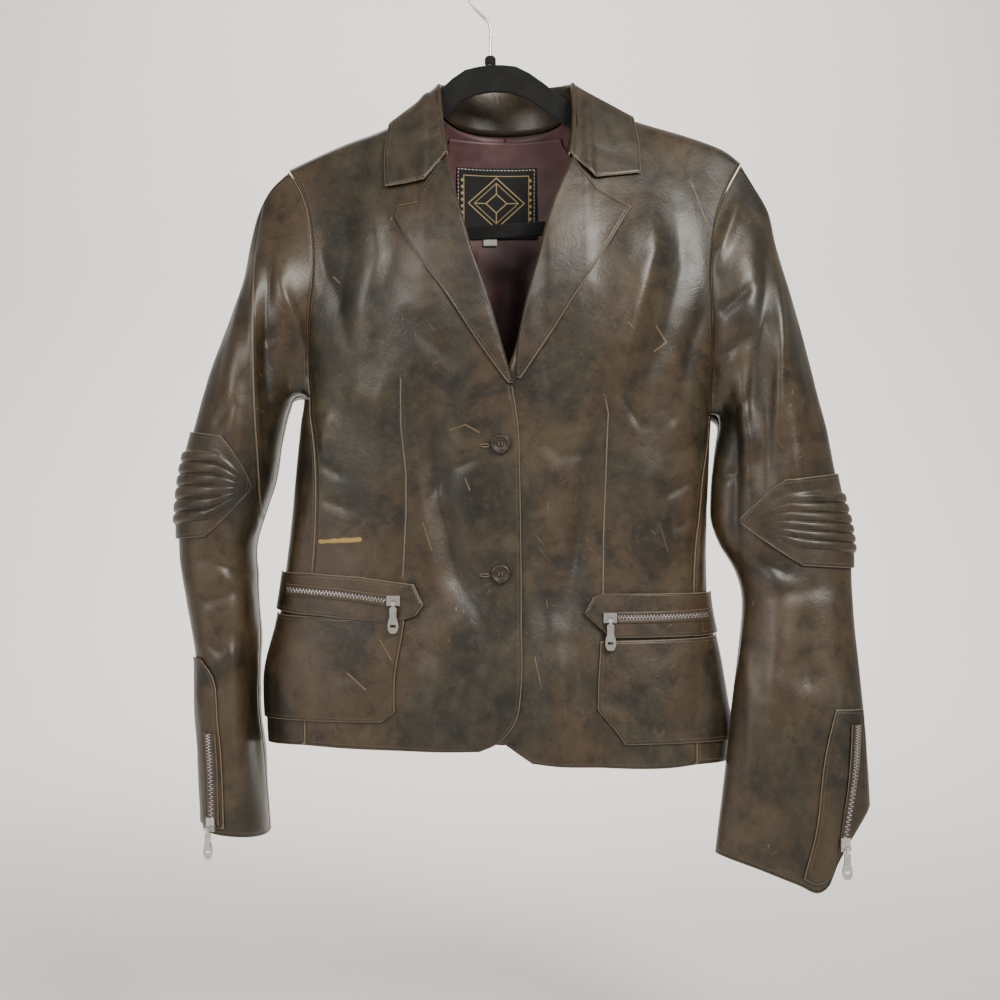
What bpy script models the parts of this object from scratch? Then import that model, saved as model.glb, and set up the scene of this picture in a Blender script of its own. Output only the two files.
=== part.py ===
"""A worn leather blazer on a slim velvet hanger.

Every size is in millimetres until a mesh is made. X runs along the shoulders, Y from the front to the
back and Z up. The origin is the top of the inside of the hanger's hook, where a rail would carry it.
Right and left are the wearer's, so the right sleeve is at -X.
"""

import math

import bmesh
import bpy
import numpy as np
from mathutils import Matrix, Vector

MM = 0.001

# Walls and gaps
LEATHER = 1.4
TRIM = 1.0
SEAM = 0.5
LAP = 0.8
WIDE_LAP = 1.5
CUFF_LAP = 1.2
SLEEVE_CLEAR = 1.6

# Outline of the body from the front, as (z, x)
BODY_RIGHT = [(-740, -203), (-723, -204), (-667, -206.5), (-607, -194), (-519, -182), (-431, -174.5),
              (-405, -171), (-380, -172), (-300, -185), (-196, -201), (-130, -206)]
BODY_LEFT = [(-745, 219), (-710, 221), (-686, 217), (-650, 211), (-583, 199), (-543, 198), (-519, 198.5),
             (-472, 201), (-425, 203), (-400, 206), (-300, 230), (-190, 246), (-130, 250)]

# How far the front and the back stand out, as (z, y)
FRONT_DEPTH = [(-745, 60), (-650, 56), (-560, 52), (-450, 57), (-340, 62), (-250, 60), (-130, 58)]
BACK_DEPTH = [(-745, 46), (-650, 43), (-560, 38), (-450, 42), (-340, 48), (-250, 54), (-130, 58)]
SECTION_POWER = 2.6
SWELL_DROP = 190.0
TURN_RADIUS = 150.0

# The shoulder line, as (x, z), and the neck between its inner ends
SHOULDER = [(-212, -210), (-187.5, -196), (-135, -171.5), (-96, -156.5), (-78, -145.5), (-66, -135),
            (-56, -126.5), (84, -127), (96, -136), (131, -148.8), (194, -168), (216, -177),
            (233, -190), (255, -210)]
NECK_RIGHT, NECK_LEFT = -56.0, 84.0
NECK_RISE_FRONT, NECK_RISE_BACK = 22.0, 70.0
RIDGE_HALF = 4.6
RIDGE_GAP = 0.45
RIDGE_DROP = 6.0

# Edges of the two fronts, as (x, z) from the hem up
ROW_SPLIT = 0.6
WRAP_X, WRAP_SPREAD, WRAP_GAP = 54.0, 20.0, 1.1
NECK_PART = 0.4
UNDERARM_PART = 0.99
FRONT_EDGE_RIGHT = [(-8.8, -724), (6.3, -717), (17.9, -706), (25, -692), (27.7, -672), (28.4, -607),
                    (27.8, -530), (26.8, -475), (25, -431.5), (20.1, -399)]
ROLL_RIGHT = [(20.1, -399), (10.8, -361.6), (-0.8, -320.7), (-16.8, -274), (-26.8, -238.6),
              (-40.4, -187), (-46, -165), (-52, -143), (-56, -126.5)]
FRONT_EDGE_LEFT = [(38, -735), (22, -724), (3, -708), (-6, -690), (-9, -668), (-9, -607), (-9, -530),
                   (-8, -475), (-4, -431), (8, -399)]
ROLL_LEFT = [(8, -399), (20, -372), (31.2, -324.3), (42.8, -281.3), (53.7, -238.7), (72.5, -187.7),
             (77, -165), (81, -145), (84, -127)]
HEM_RIGHT = [(-8.8, -724), (-26.6, -724.6), (-80, -723.5), (-135, -721.9), (-166, -720.4)]
HEM_LEFT = [(38, -735), (62, -737.5), (98, -738.5), (130, -740), (165, -740), (186, -738)]

# Seams between the fronts and the sides, and the armholes, from the hem up
SIDE_SEAM_RIGHT = [(-166, -720.4), (-165, -640), (-160.1, -564), (-158.3, -541.6), (-157, -511.8),
                   (-157.1, -473.8), (-159.4, -443.9), (-162.3, -425.6), (-163.5, -405)]
SIDE_SEAM_LEFT = [(186, -738), (184, -640), (184.2, -583.5), (186.2, -541.8), (190, -511.8),
                  (192.6, -481.4), (197.5, -450.7), (199, -436), (199.8, -420)]
ARMHOLE_RIGHT = [(-163.5, -405), (-165.2, -384), (-166.4, -361.7), (-165.4, -343.7), (-163.6, -322.9),
                 (-161.4, -305.7), (-160.8, -279.8), (-163.5, -253.3), (-168.5, -230), (-174.9, -214.1),
                 (-186, -196.8)]
ARMHOLE_LEFT = [(199.8, -420), (200, -402), (201.2, -357.2), (200.7, -330.4), (199.4, -299.7),
                (201.3, -273.8), (206.4, -245.3), (217, -216.8), (231.5, -190.6)]
BACK_SEAM_RIGHT = [(-178, -722), (-176, -640), (-165, -564), (-154, -512), (-152, -450), (-152, -403)]
BACK_SEAM_LEFT = [(194, -737), (190, -640), (176, -564), (174, -512), (178, -450), (182, -417)]
BACK_ARMHOLE_RIGHT = [(-152, -403), (-160, -372), (-163, -330), (-163, -280), (-169, -232), (-186, -196.8)]
BACK_ARMHOLE_LEFT = [(182, -417), (194, -385), (200, -335), (202, -285), (210, -236), (231.5, -190.6)]
CENTRE_BACK = 14.0
BACK_HEM = -735.0
BACK_NECK = [(14, -154), (-15, -153), (-36, -148), (-48, -139), (-56, -126.5)]

# Collar stations from each front end to the centre of the back: the neck seam, the roll line, and the
# outer edge as x and the drop from the shoulder, which is negative in front
COLLAR_SEAM_RIGHT = [(-36.5, -31, -186), (-42.5, -24, -164), (-48.5, -12, -142.5), (-54.5, -6, -130.5),
                     (-56.2, 0, -122.8), (-53.5, 4.5, -126.5), (-51, 10, -131), (-46, 17, -137),
                     (-35.5, 29, -145.4), (-15, 42.6, -150.6), (14, 48.4, -151.6)]
COLLAR_ROLL_RIGHT = [(-39.8, -43, -186.4), (-43, -31, -166), (-46, -18, -140), (-47.5, -8, -122),
                     (-48, 0, -115.5), (-48, 5, -113.5), (-47, 10, -113), (-44, 18, -111.5),
                     (-36, 30, -110), (-15, 43, -109), (14, 49, -109)]
COLLAR_EDGE_RIGHT = [(-95, -62), (-96.5, -32), (-94.5, -9), (-93.5, -2.2), (-92.5, 0), (-91.5, 2.2),
                     (-89.5, 9), (-78, 24), (-54, 42), (-22, 82), (14, 110)]
COLLAR_SEAM_LEFT = [(69.5, -31, -187), (73.5, -24, -164), (77.5, -12, -143), (81, -5.5, -131.5),
                    (82.5, 0, -124.5), (81.5, 4.5, -127), (79, 10, -131.5), (74, 17, -137.5),
                    (64, 29, -145.6), (43, 42.6, -150.6), (14, 48.4, -151.6)]
COLLAR_ROLL_LEFT = [(72.8, -43, -187), (76, -31, -165), (77, -18, -139.5), (76.8, -8, -121),
                    (76.5, 0, -114), (76.3, 5, -112.8), (75, 10, -112.3), (72, 18, -111.3),
                    (64, 30, -110), (43, 43, -109), (14, 49, -109)]
COLLAR_EDGE_LEFT = [(136.5, -54), (136, -26), (133.5, -9), (132.5, -2.2), (131.5, 0), (130, 2.2),
                    (127, 9), (113, 24), (86, 42), (50, 82), (14, 110)]
COLLAR_COLUMNS = [0, 0.35, 1, 1.5, 2, 3, 4, 5, 6, 7, 8, 9, 10]
COLLAR_LIFT = 3.6
ROLL_RADIUS, ROLL_RISE = 1.6, 1.8
GORGE_DIP = 17.0
GORGE_PART = 0.34
SECTION_DROPS = [0.0, 0.4, 1.0, 2.0, 3.2, 4.6, 6.0, 9.0, 13.0, 19.0, 27.0, 38.0, 52.0, 70.0, 92.0, 120.0]

# Lapels, from the break of the roll up
LAPEL_LIFT = 1.25
LAPEL_ROLL_RIGHT = [(18.6, -396), (9.3, -361.6), (-2.3, -320.7), (-18.3, -274), (-28.3, -238.6),
                    (-44.6, -195)]
LAPEL_EDGE_RIGHT = [(16.4, -396), (-6.1, -365.3), (-39.8, -315.5), (-71.3, -271.5), (-84.4, -246.7)]
LAPEL_TOP_RIGHT = [(-44.6, -195), (-61, -222), (-63, -233.3), (-82, -236.4), (-84.4, -246.7)]
LAPEL_ROLL_LEFT = [(24.6, -391), (25.5, -368), (33.2, -324.3), (44.8, -281.3), (55.7, -238.7),
                   (74.5, -191.5)]
LAPEL_EDGE_LEFT = [(26.8, -392), (48.9, -360), (75.5, -318.2), (98, -284.7), (125.9, -238.4)]
LAPEL_TOP_LEFT = [(74.5, -191.5), (94.6, -220), (108, -228), (118, -234), (125.9, -238.4)]

# Sleeve stations from the shoulder to the cuff: outer x and z, inner x and z, half depth, centre y
SLEEVE_RIGHT = [(-188.6, -197, -173, -402, 34, 0), (-205, -213.5, -176.5, -401, 38, 0),
                (-215, -234, -179.5, -402, 43, 0), (-221.5, -260, -182, -404, 47, 0),
                (-228, -298, -184, -407.5, 51, -1), (-236.5, -326, -185.5, -412, 54, -2),
                (-253, -371, -188.5, -422, 57, -3), (-265.4, -413.8, -191, -433, 58, -4),
                (-272.8, -441.6, -194, -451, 57, -5), (-281, -477, -198.6, -482, 55, -6),
                (-285, -518.5, -207.9, -512, 54, -7), (-284, -545, -216, -541, 52, -8),
                (-281, -570, -215.3, -573, 51, -9), (-272.8, -616, -212.5, -621, 49, -10),
                (-268.5, -645, -213.5, -648, 48, -10), (-268.2, -685, -214, -688, 47, -10),
                (-265.4, -733, -209, -735, 46, -10), (-262.6, -797.6, -203.5, -804, 45, -10)]
SLEEVE_LEFT = [(234.3, -191.4, 206.8, -417.5, 32, 0), (245, -210, 209.5, -418, 38, -1),
               (257.8, -234.7, 211, -420.5, 42, -3), (264.2, -266.8, 212, -424.5, 43, -5),
               (277, -312.7, 212, -430, 43, -7), (290, -363, 210.5, -438, 41, -9),
               (298.2, -397, 208.5, -448, 39, -11), (308.3, -437.6, 206, -465, 37, -13),
               (314.7, -470.6, 204, -484, 36, -14), (320, -497, 203, -502, 35, -15),
               (326.5, -524, 203.4, -520, 34, -17), (329.3, -548, 211, -541, 33, -19),
               (329, -571.7, 225, -565.7, 31, -22), (329.5, -600.2, 230.3, -595.2, 30, -27),
               (332.8, -645.3, 224.9, -645.3, 28, -33), (336.3, -685.2, 219.7, -681.2, 27, -38),
               (339.1, -729.9, 213.7, -733.8, 25, -42), (341.1, -773.5, 203.4, -816.7, 22, -45)]
SLEEVE_POWER = 2.3
HEAD_STATIONS = 5.0
SEAM_ANGLE = 0.012
CUFF_DROP_LEFT = [(0, 0), (0.25, 22), (0.51, 47), (0.65, 60), (0.7, 58), (0.776, 38), (1, 0)]
CUFF_DROP_BACK = 0.3
BACK_FOLD_PART = -0.8

# Largest folds of the body, as (x0, z0, x1, z1, width, height): a ridge, or a trough below zero
FOLDS_FRONT = [(-112, -230, -126, -395, 24, 5.0), (-66, -310, -72, -410, 26, 3.5),
               (-58, -440, -26, -590, 24, -3.5), (-40, -600, -25, -700, 28, 3.0),
               (134, -240, 112, -385, 24, 5.0), (120, -410, 84, -560, 24, -3.5),
               (56, -600, 62, -720, 28, 3.0)]
FOLDS_BACK = [(-108, -230, -116, -420, 26, 5.0), (-60, -330, -70, -520, 28, 4.0),
              (-30, -430, -25, -600, 24, -3.5), (138, -240, 134, -420, 26, 5.0),
              (90, -330, 96, -520, 28, 4.0), (55, -430, 52, -600, 24, -3.5)]
# Largest folds of the sleeves, as (station, across) from and to, width in mm and height
FOLDS_SLEEVE_RIGHT = [(1.0, -0.55, 9.0, 0.35, 13, 4.0), (3.0, 0.25, 9.5, 0.8, 12, -5.0),
                      (11.0, -0.2, 13.5, 0.4, 14, -3.0)]
FOLDS_SLEEVE_LEFT = [(1.5, -0.35, 9.0, -0.25, 14, 5.0), (1.0, -0.1, 8.5, 0.2, 14, -5.0),
                     (3.5, 0.75, 7.0, 0.5, 14, 4.0), (11.5, 0.5, 15.0, 0.4, 18, 3.0)]

# Pockets, as the (x, z) of their inner, outer, lower and upper edges, from the bottom up or outwards
PATCH_RIGHT = ([(-97, -698), (-84.5, -689), (-76, -606)], [(-212, -697.5), (-212, -604)],
               [(-97, -698), (-125, -698.3), (-212, -697.5)], [(-76, -606), (-212, -604)])
PATCH_LEFT = ([(120.4, -718.3), (95.6, -687), (98.3, -626)], [(226, -717.6), (226, -624)],
              [(120.4, -718.3), (226, -717.6)], [(98.3, -626), (226, -624)])
BAND_RIGHT = ([(-85, -609.8), (-66, -603.5), (-59, -593.7), (-67.8, -575.5)], [(-212, -599.2), (-212, -566)],
              [(-85, -609.8), (-150, -604.5), (-212, -599.2)],
              [(-67.8, -575.5), (-115, -569), (-160, -566), (-212, -566)])
BAND_LEFT = ([(107.2, -623.2), (84, -601.3), (92.1, -586.7), (101.1, -584)], [(226, -621.5), (226, -584.2)],
             [(107.2, -623.2), (188.3, -623.2), (226, -621.5)], [(101.1, -584), (226, -584.2)])
ZIP_RIGHT = [(-181, -581.5), (-135, -584.5), (-92, -590)]
ZIP_LEFT = [(113, -605.3), (155, -605), (194, -604.5)]
ZIP_HALF = 4.0

# Elbow patches: station of the middle, half height in stations, angle of the apex from the inner edge
ELBOW_RIGHT = (9.25, 1.35, 0.98)
ELBOW_LEFT = (9.9, 1.7, 1.85)
ELBOW_TAPER = 0.17
PLEATS = 6
PLEAT_HEIGHT = 3.2
PLEAT_REACH = 0.62

# Cuffs: the placket's outline and the zip's line, as (station, across)
PLACKET_RIGHT = [(13.9, -0.6), (14.3, -0.22), (15.5, -0.07), (16.9, -0.12)]
PLACKET_LEFT = [(15.05, -0.5), (15.9, -0.3), (16.5, -0.22), (16.93, -0.08)]
PLACKET_RIM = -0.93
CUFF_ZIP_HALF = 2.6
CUFF_ZIP_RIGHT = [(15.5, -0.36), (16.2, -0.38), (16.85, -0.42)]
CUFF_ZIP_LEFT = [(15.35, -0.8), (16.1, -0.74), (16.6, -0.66), (16.88, -0.6)]

# Zip sliders and their pull tabs
SLIDER_LONG, SLIDER_WIDE, SLIDER_THICK = 12.0, 9.0, 2.6
SLIDER_SHIFT, SLIDER_CLEAR = 6.5, 0.3
LUG_THICK, LUG_TALL, LUG_GAP = 1.2, 4.4, 3.8
PIN_RADIUS, EYE_BORE, EYE_RADIUS, EYE_WIDTH = 0.8, 1.15, 2.3, 3.0
PIN_RISE = 2.8
PULL_LENGTH, PULL_WAIST, PULL_FLARE, PULL_THICK = 27.0, 6.4, 9.6, 1.4

# Buttons, label, size tab and lining
BUTTON_PROFILE = [(0.01, 3.2), (5.6, 3.2), (6.3, 4.2), (7.6, 4.4), (8.6, 3.7), (8.8, 2.6), (8.3, 1.0),
                  (5.0, 0.4), (0.01, 0.4)]
BUTTON_SPOTS = [(9.4, -450.2), (9.6, -566.0)]
LINING_TOP, LINING_SHOULDER, LINING_BOTTOM = -158.0, -215.0, -430.0
LINING_HALF, LINING_NARROWING = 100.0, 46.0
LINING_IN = -3.4
LABEL = (-34.0, 45.0, -250.0, -182.0)
SIZE_TAB = (-7.0, 6.0, -257.0, -250.8)

# Hanger and hook
HANGER_TILT = 0.067
HANGER_TOP = [(0, -97), (20, -99), (37, -108), (48, -117), (60, -128), (78, -141), (96, -150.5),
              (135, -162.8), (176, -178.4)]
HANGER_INNER = [(0, -122), (12, -123), (27, -128), (45, -141), (62, -155), (100, -178), (150, -200)]
HANGER_END = [(184, -186), (187, -196), (186, -210), (178, -232), (166, -246)]
HANGER_BAR_TOP, HANGER_BAR_BOTTOM = -245.0, -258.0
HANGER_HALF = 2.6
HOOK_WIRE = 1.4
HOOK_RADIUS = 23.7
SOCKET_PROFILE = [(1.75, 0), (5.2, 0), (5.2, 5.4), (3.8, 7.4), (1.75, 7.4)]


def smooth(keys):
    """A curve y(x) through the keys that never overshoots them."""
    keys = sorted(keys)
    x = np.array([key[0] for key in keys], float)
    y = np.array([key[1] for key in keys], float)
    step = np.diff(x)
    rise = np.diff(y) / step
    slope = np.zeros(len(x))
    slope[0], slope[-1] = rise[0], rise[-1]
    for i in range(1, len(x) - 1):
        if rise[i - 1] * rise[i] > 0:
            near, far = 2 * step[i] + step[i - 1], step[i] + 2 * step[i - 1]
            slope[i] = (near + far) / (near / rise[i - 1] + far / rise[i])

    def value(at):
        at = min(max(at, x[0]), x[-1])
        i = min(max(int(np.searchsorted(x, at)) - 1, 0), len(step) - 1)
        w = (at - x[i]) / step[i]
        start, end = (1 + 2 * w) * (1 - w) ** 2, w * w * (3 - 2 * w)
        lean = step[i] * w * (1 - w) * ((1 - w) * slope[i] - w * slope[i + 1])
        return start * y[i] + end * y[i + 1] + lean

    return value


def path(points, straight=False):
    """A curve through the points, as a function of 0 to 1 along its length."""
    spots = np.array(points, float)
    steps = np.linalg.norm(np.diff(spots, axis=0), axis=1)
    knots = np.concatenate([[0.0], np.cumsum(steps)]) / steps.sum()
    slopes = np.gradient(spots, knots, axis=0)

    def spot(t):
        t = min(max(t, 0.0), 1.0)
        i = min(max(int(np.searchsorted(knots, t, side="right")) - 1, 0), len(knots) - 2)
        h = knots[i + 1] - knots[i]
        w = (t - knots[i]) / h
        if straight:
            return spots[i] * (1 - w) + spots[i + 1] * w
        lean = h * w * (1 - w) * ((1 - w) * slopes[i] - w * slopes[i + 1])
        return (1 + 2 * w) * (1 - w) ** 2 * spots[i] + w * w * (3 - 2 * w) * spots[i + 1] + lean

    return spot


def stations(rows):
    """Rows of numbers, read smoothly at any place between two of them."""
    table = np.array(rows, float)
    slopes = np.gradient(table, axis=0)

    def row(t):
        t = min(max(t, 0.0), len(table) - 1.0)
        i = min(int(t), len(table) - 2)
        w = t - i
        lean = w * (1 - w) * ((1 - w) * slopes[i] - w * slopes[i + 1])
        return (1 + 2 * w) * (1 - w) ** 2 * table[i] + w * w * (3 - 2 * w) * table[i + 1] + lean

    return row


def ramp(t):
    """A soft step from 0 to 1."""
    t = min(max(t, 0.0), 1.0)
    return t * t * (3 - 2 * t)


def power(value, exponent):
    """The sign of a value with its size raised to an exponent."""
    return math.copysign(abs(value) ** exponent, value)


def bump(x, z, fold):
    """How much a fold lifts the cloth at (x, z)."""
    x0, z0, x1, z1, width, height = fold
    dx, dz = x1 - x0, z1 - z0
    along = ((x - x0) * dx + (z - z0) * dz) / (dx * dx + dz * dz)
    aside = math.hypot(x - x0 - along * dx, z - z0 - along * dz)
    ends = ramp((along + 0.15) / 0.35) * ramp((1.15 - along) / 0.35)
    return height * ends * math.exp(-((aside / width) ** 2))


body_right, body_left = smooth(BODY_RIGHT), smooth(BODY_LEFT)
front_depth, back_depth = smooth(FRONT_DEPTH), smooth(BACK_DEPTH)
shoulder = smooth(SHOULDER)


def ridge(x, front):
    """The height that the cloth falls from: the shoulder, or a rise over the open neck."""
    height = shoulder(x)
    if NECK_RIGHT < x < NECK_LEFT:
        part = math.sin(math.pi * (x - NECK_RIGHT) / (NECK_LEFT - NECK_RIGHT))
        height += (NECK_RISE_FRONT if front else NECK_RISE_BACK) * part**1.3
    return height


def body_middle(angle, z):
    """The middle of the body's wall. The angle is 0 in front, -90 degrees at the right side."""
    low, high = body_right(z), body_left(z)
    side, face = math.sin(angle), math.cos(angle)
    x = (low + high) / 2 + (high - low) / 2 * power(side, 2 / SECTION_POWER)
    front = face >= 0
    drop = max(ridge(x, front) - z, 0.0)
    skin = RIDGE_GAP + (RIDGE_HALF - RIDGE_GAP) * math.sqrt(1 - (1 - min(drop / RIDGE_DROP, 1)) ** 2)
    swell = 1 - (1 - min(drop / SWELL_DROP, 1)) ** 2
    depth = (front_depth if front else back_depth)(z)
    y = skin * min(1, abs(face) / 0.3) + depth * abs(face) ** (2 / SECTION_POWER) * swell
    folds = sum(bump(x, z, fold) for fold in (FOLDS_FRONT if front else FOLDS_BACK))
    y += folds * min(1, abs(face) / 0.3) * ramp(drop / 60)
    return np.array([x, -y if front else y, z])


def body(angle, z, out=0.0):
    """A point on the body, moved out along its normal."""
    spot = body_middle(angle, z)
    if not out:
        return spot
    front = math.cos(angle) >= 0
    step, height = 0.01, ridge(spot[0], front)
    ends = []
    for turn in (angle + step, angle - step):
        rise = ridge(body_middle(turn, z)[0], front) - height
        ends.append(body_middle(turn, z + rise))
    up = spot - body_middle(angle, z - 1)
    normal = np.cross(ends[0] - ends[1], up)
    return spot + out * normal / np.linalg.norm(normal)


def angle_at(x, z, front=True):
    """The body's angle at a place seen from the front, or seen through to the back."""
    low, high = body_right(z), body_left(z)
    across = min(max((x - (low + high) / 2) / ((high - low) / 2), -1), 1)
    angle = math.asin(power(across, SECTION_POWER / 2))
    if front:
        return angle
    return math.pi - angle if angle >= 0 else -math.pi - angle


def on_body(curve, front=True, shift=0.0):
    """A curve of (x, z) as a curve of (angle, z)."""

    def spot(t):
        x, z = curve(t)
        return np.array([angle_at(x + shift, z, front), z])

    return spot


def two_part(lower, upper):
    """One curve from two, which meet at ROW_SPLIT."""

    def spot(t):
        if t <= ROW_SPLIT:
            return lower(t / ROW_SPLIT)
        return upper((t - ROW_SPLIT) / (1 - ROW_SPLIT))

    return spot


def coons(start, end, bottom, top):
    """The patch between four curves: start and end run up, bottom and top run across."""

    def spot(s, v):
        across = (1 - s) * start(v) + s * end(v)
        upward = (1 - v) * bottom(s) + v * top(s)
        corners = (1 - v) * ((1 - s) * start(0) + s * end(0)) + v * ((1 - s) * start(1) + s * end(1))
        return across + upward - corners

    return spot


def even(count, start=0.0, end=1.0):
    return [start + (end - start) * i / count for i in range(count + 1)]


def material(name, colour, roughness=0.55, metallic=0.0):
    found = bpy.data.materials.get(name)
    if found:
        return found
    made = bpy.data.materials.new(name)
    made.use_nodes = True
    shader = made.node_tree.nodes["Principled BSDF"]
    shader.inputs["Base Color"].default_value = (*colour, 1)
    shader.inputs["Roughness"].default_value = roughness
    shader.inputs["Metallic"].default_value = metallic
    return made


def hide():
    return material("brown_hide", (0.075, 0.052, 0.036), 0.42)


def hide_trim():
    return material("brown_hide_trim", (0.095, 0.066, 0.045), 0.45)


def nickel():
    return material("nickel", (0.62, 0.6, 0.57), 0.3, 1.0)


def velvet():
    return material("black_velvet", (0.008, 0.008, 0.009), 0.95)


def tape():
    return material("zip_tape", (0.12, 0.08, 0.08), 0.8)


def lining_cloth():
    return material("burgundy_lining", (0.06, 0.025, 0.027), 0.5)


def label_cloth():
    return material("black_label", (0.012, 0.011, 0.012), 0.85)


def ribbon():
    return material("white_tab", (0.6, 0.57, 0.5), 0.85)


def dark_horn():
    return material("dark_horn", (0.035, 0.022, 0.016), 0.35)


def add_object(name, data, look, collection):
    made = bpy.data.objects.new(name, data)
    data.materials.append(look)
    collection.objects.link(made)
    return made


def sheet(name, across, up, place, thickness, look, collection):
    """A wall about the surface place(s, v), at the given values of s and v."""
    mesh = bmesh.new()
    columns, rows = len(across) - 1, len(up) - 1
    bmesh.ops.create_grid(mesh, x_segments=columns, y_segments=rows, size=1.0)
    for vertex in mesh.verts:
        s = across[round((vertex.co.x + 1) / 2 * columns)]
        v = up[round((vertex.co.y + 1) / 2 * rows)]
        vertex.co = Vector(place(s, v)) * MM
    data = bpy.data.meshes.new(name)
    mesh.to_mesh(data)
    mesh.free()
    data.shade_smooth()
    made = add_object(name, data, look, collection)
    wall = made.modifiers.new("Wall", "SOLIDIFY")
    wall.thickness = thickness * MM
    wall.offset = 0
    wall.use_even_offset = True
    return made


LOW_ROWS = 11
BODY_ROWS = even(LOW_ROWS, 0, ROW_SPLIT) + even(8, ROW_SPLIT, 0.985)[1:] + [0.992, 0.997, 1.0]


def under_lap(x):
    """How far the left front lies behind the right one near the front edge."""
    return -(LEATHER + WRAP_GAP) * ramp((WRAP_X - x) / WRAP_SPREAD)


def front_panel(side, collection):
    right = side == "right"
    edge, roll = (FRONT_EDGE_RIGHT, ROLL_RIGHT) if right else (FRONT_EDGE_LEFT, ROLL_LEFT)
    seam, armhole = (SIDE_SEAM_RIGHT, ARMHOLE_RIGHT) if right else (SIDE_SEAM_LEFT, ARMHOLE_LEFT)
    shift = SEAM / 2 if right else -SEAM / 2
    inner = on_body(two_part(path(edge), path(roll)))
    outer = on_body(two_part(path(seam), path(armhole)), shift=shift)
    hem = on_body(path(HEM_RIGHT if right else HEM_LEFT))
    neck, tip = roll[-1][0], armhole[-1][0]

    def top(s):
        x = neck + (tip - neck) * s
        return np.array([angle_at(x, shoulder(x)), shoulder(x)])

    patch = coons(inner, outer, hem, top)

    def place(s, v):
        angle, z = patch(s, v)
        if right:
            return body(angle, z)
        return body(angle, z, under_lap(body_middle(angle, z)[0]))

    sheet(f"front_{side}", even(11), BODY_ROWS, place, LEATHER, hide(), collection)


def back_panel(side, collection):
    right = side == "right"
    seam, armhole = (BACK_SEAM_RIGHT, BACK_ARMHOLE_RIGHT) if right else (BACK_SEAM_LEFT, BACK_ARMHOLE_LEFT)
    sign = -1 if right else 1
    neck = [(CENTRE_BACK + sign * (CENTRE_BACK - x), z) for x, z in BACK_NECK]
    tip = armhole[-1][0]
    neck_edge = path(neck)

    def turned(angle):
        return angle if sign * angle > 0 else angle + sign * 2 * math.pi

    def back_point(x, z):
        return np.array([turned(angle_at(x, z, False)), z])

    def inner(t):
        return back_point(CENTRE_BACK + sign * SEAM / 2, BACK_HEM + (neck[0][1] - BACK_HEM) * t)

    outer_line = two_part(path(seam), path(armhole))

    def outer(t):
        x, z = outer_line(t)
        return back_point(x - sign * SEAM / 2, z)

    def hem(s):
        x = CENTRE_BACK + sign * SEAM / 2
        return back_point(x + (seam[0][0] - x) * s, BACK_HEM + (seam[0][1] - BACK_HEM) * s)

    def top(s):
        if s <= NECK_PART:
            x, z = neck_edge(s / NECK_PART)
            return back_point(x if s else x + sign * SEAM / 2, z)
        x = neck[-1][0] + (tip - neck[-1][0]) * (s - NECK_PART) / (1 - NECK_PART)
        return back_point(x, shoulder(x))

    patch = coons(inner, outer, hem, top)
    across = even(4, 0, NECK_PART) + even(5, NECK_PART, 1)[1:]

    def place(s, v):
        return body(*patch(s, v))

    sheet(f"back_{side}", across, BODY_ROWS, place, LEATHER, hide(), collection)


def side_panel(side, collection):
    right = side == "right"
    front = path(SIDE_SEAM_RIGHT if right else SIDE_SEAM_LEFT)
    back = path(BACK_SEAM_RIGHT if right else BACK_SEAM_LEFT)
    sign = -1 if right else 1

    def place(s, v):
        x, z = front(v)
        start = np.array([angle_at(x + sign * SEAM / 2, z), z])
        x, z = back(v)
        end = np.array([angle_at(x + sign * SEAM / 2, z, False), z])
        return body(*(start * (1 - s) + end * s))

    rows = even(LOW_ROWS)[:-1] + [UNDERARM_PART]
    sheet(f"side_{side}", even(7), rows, place, LEATHER, hide(), collection)


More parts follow.
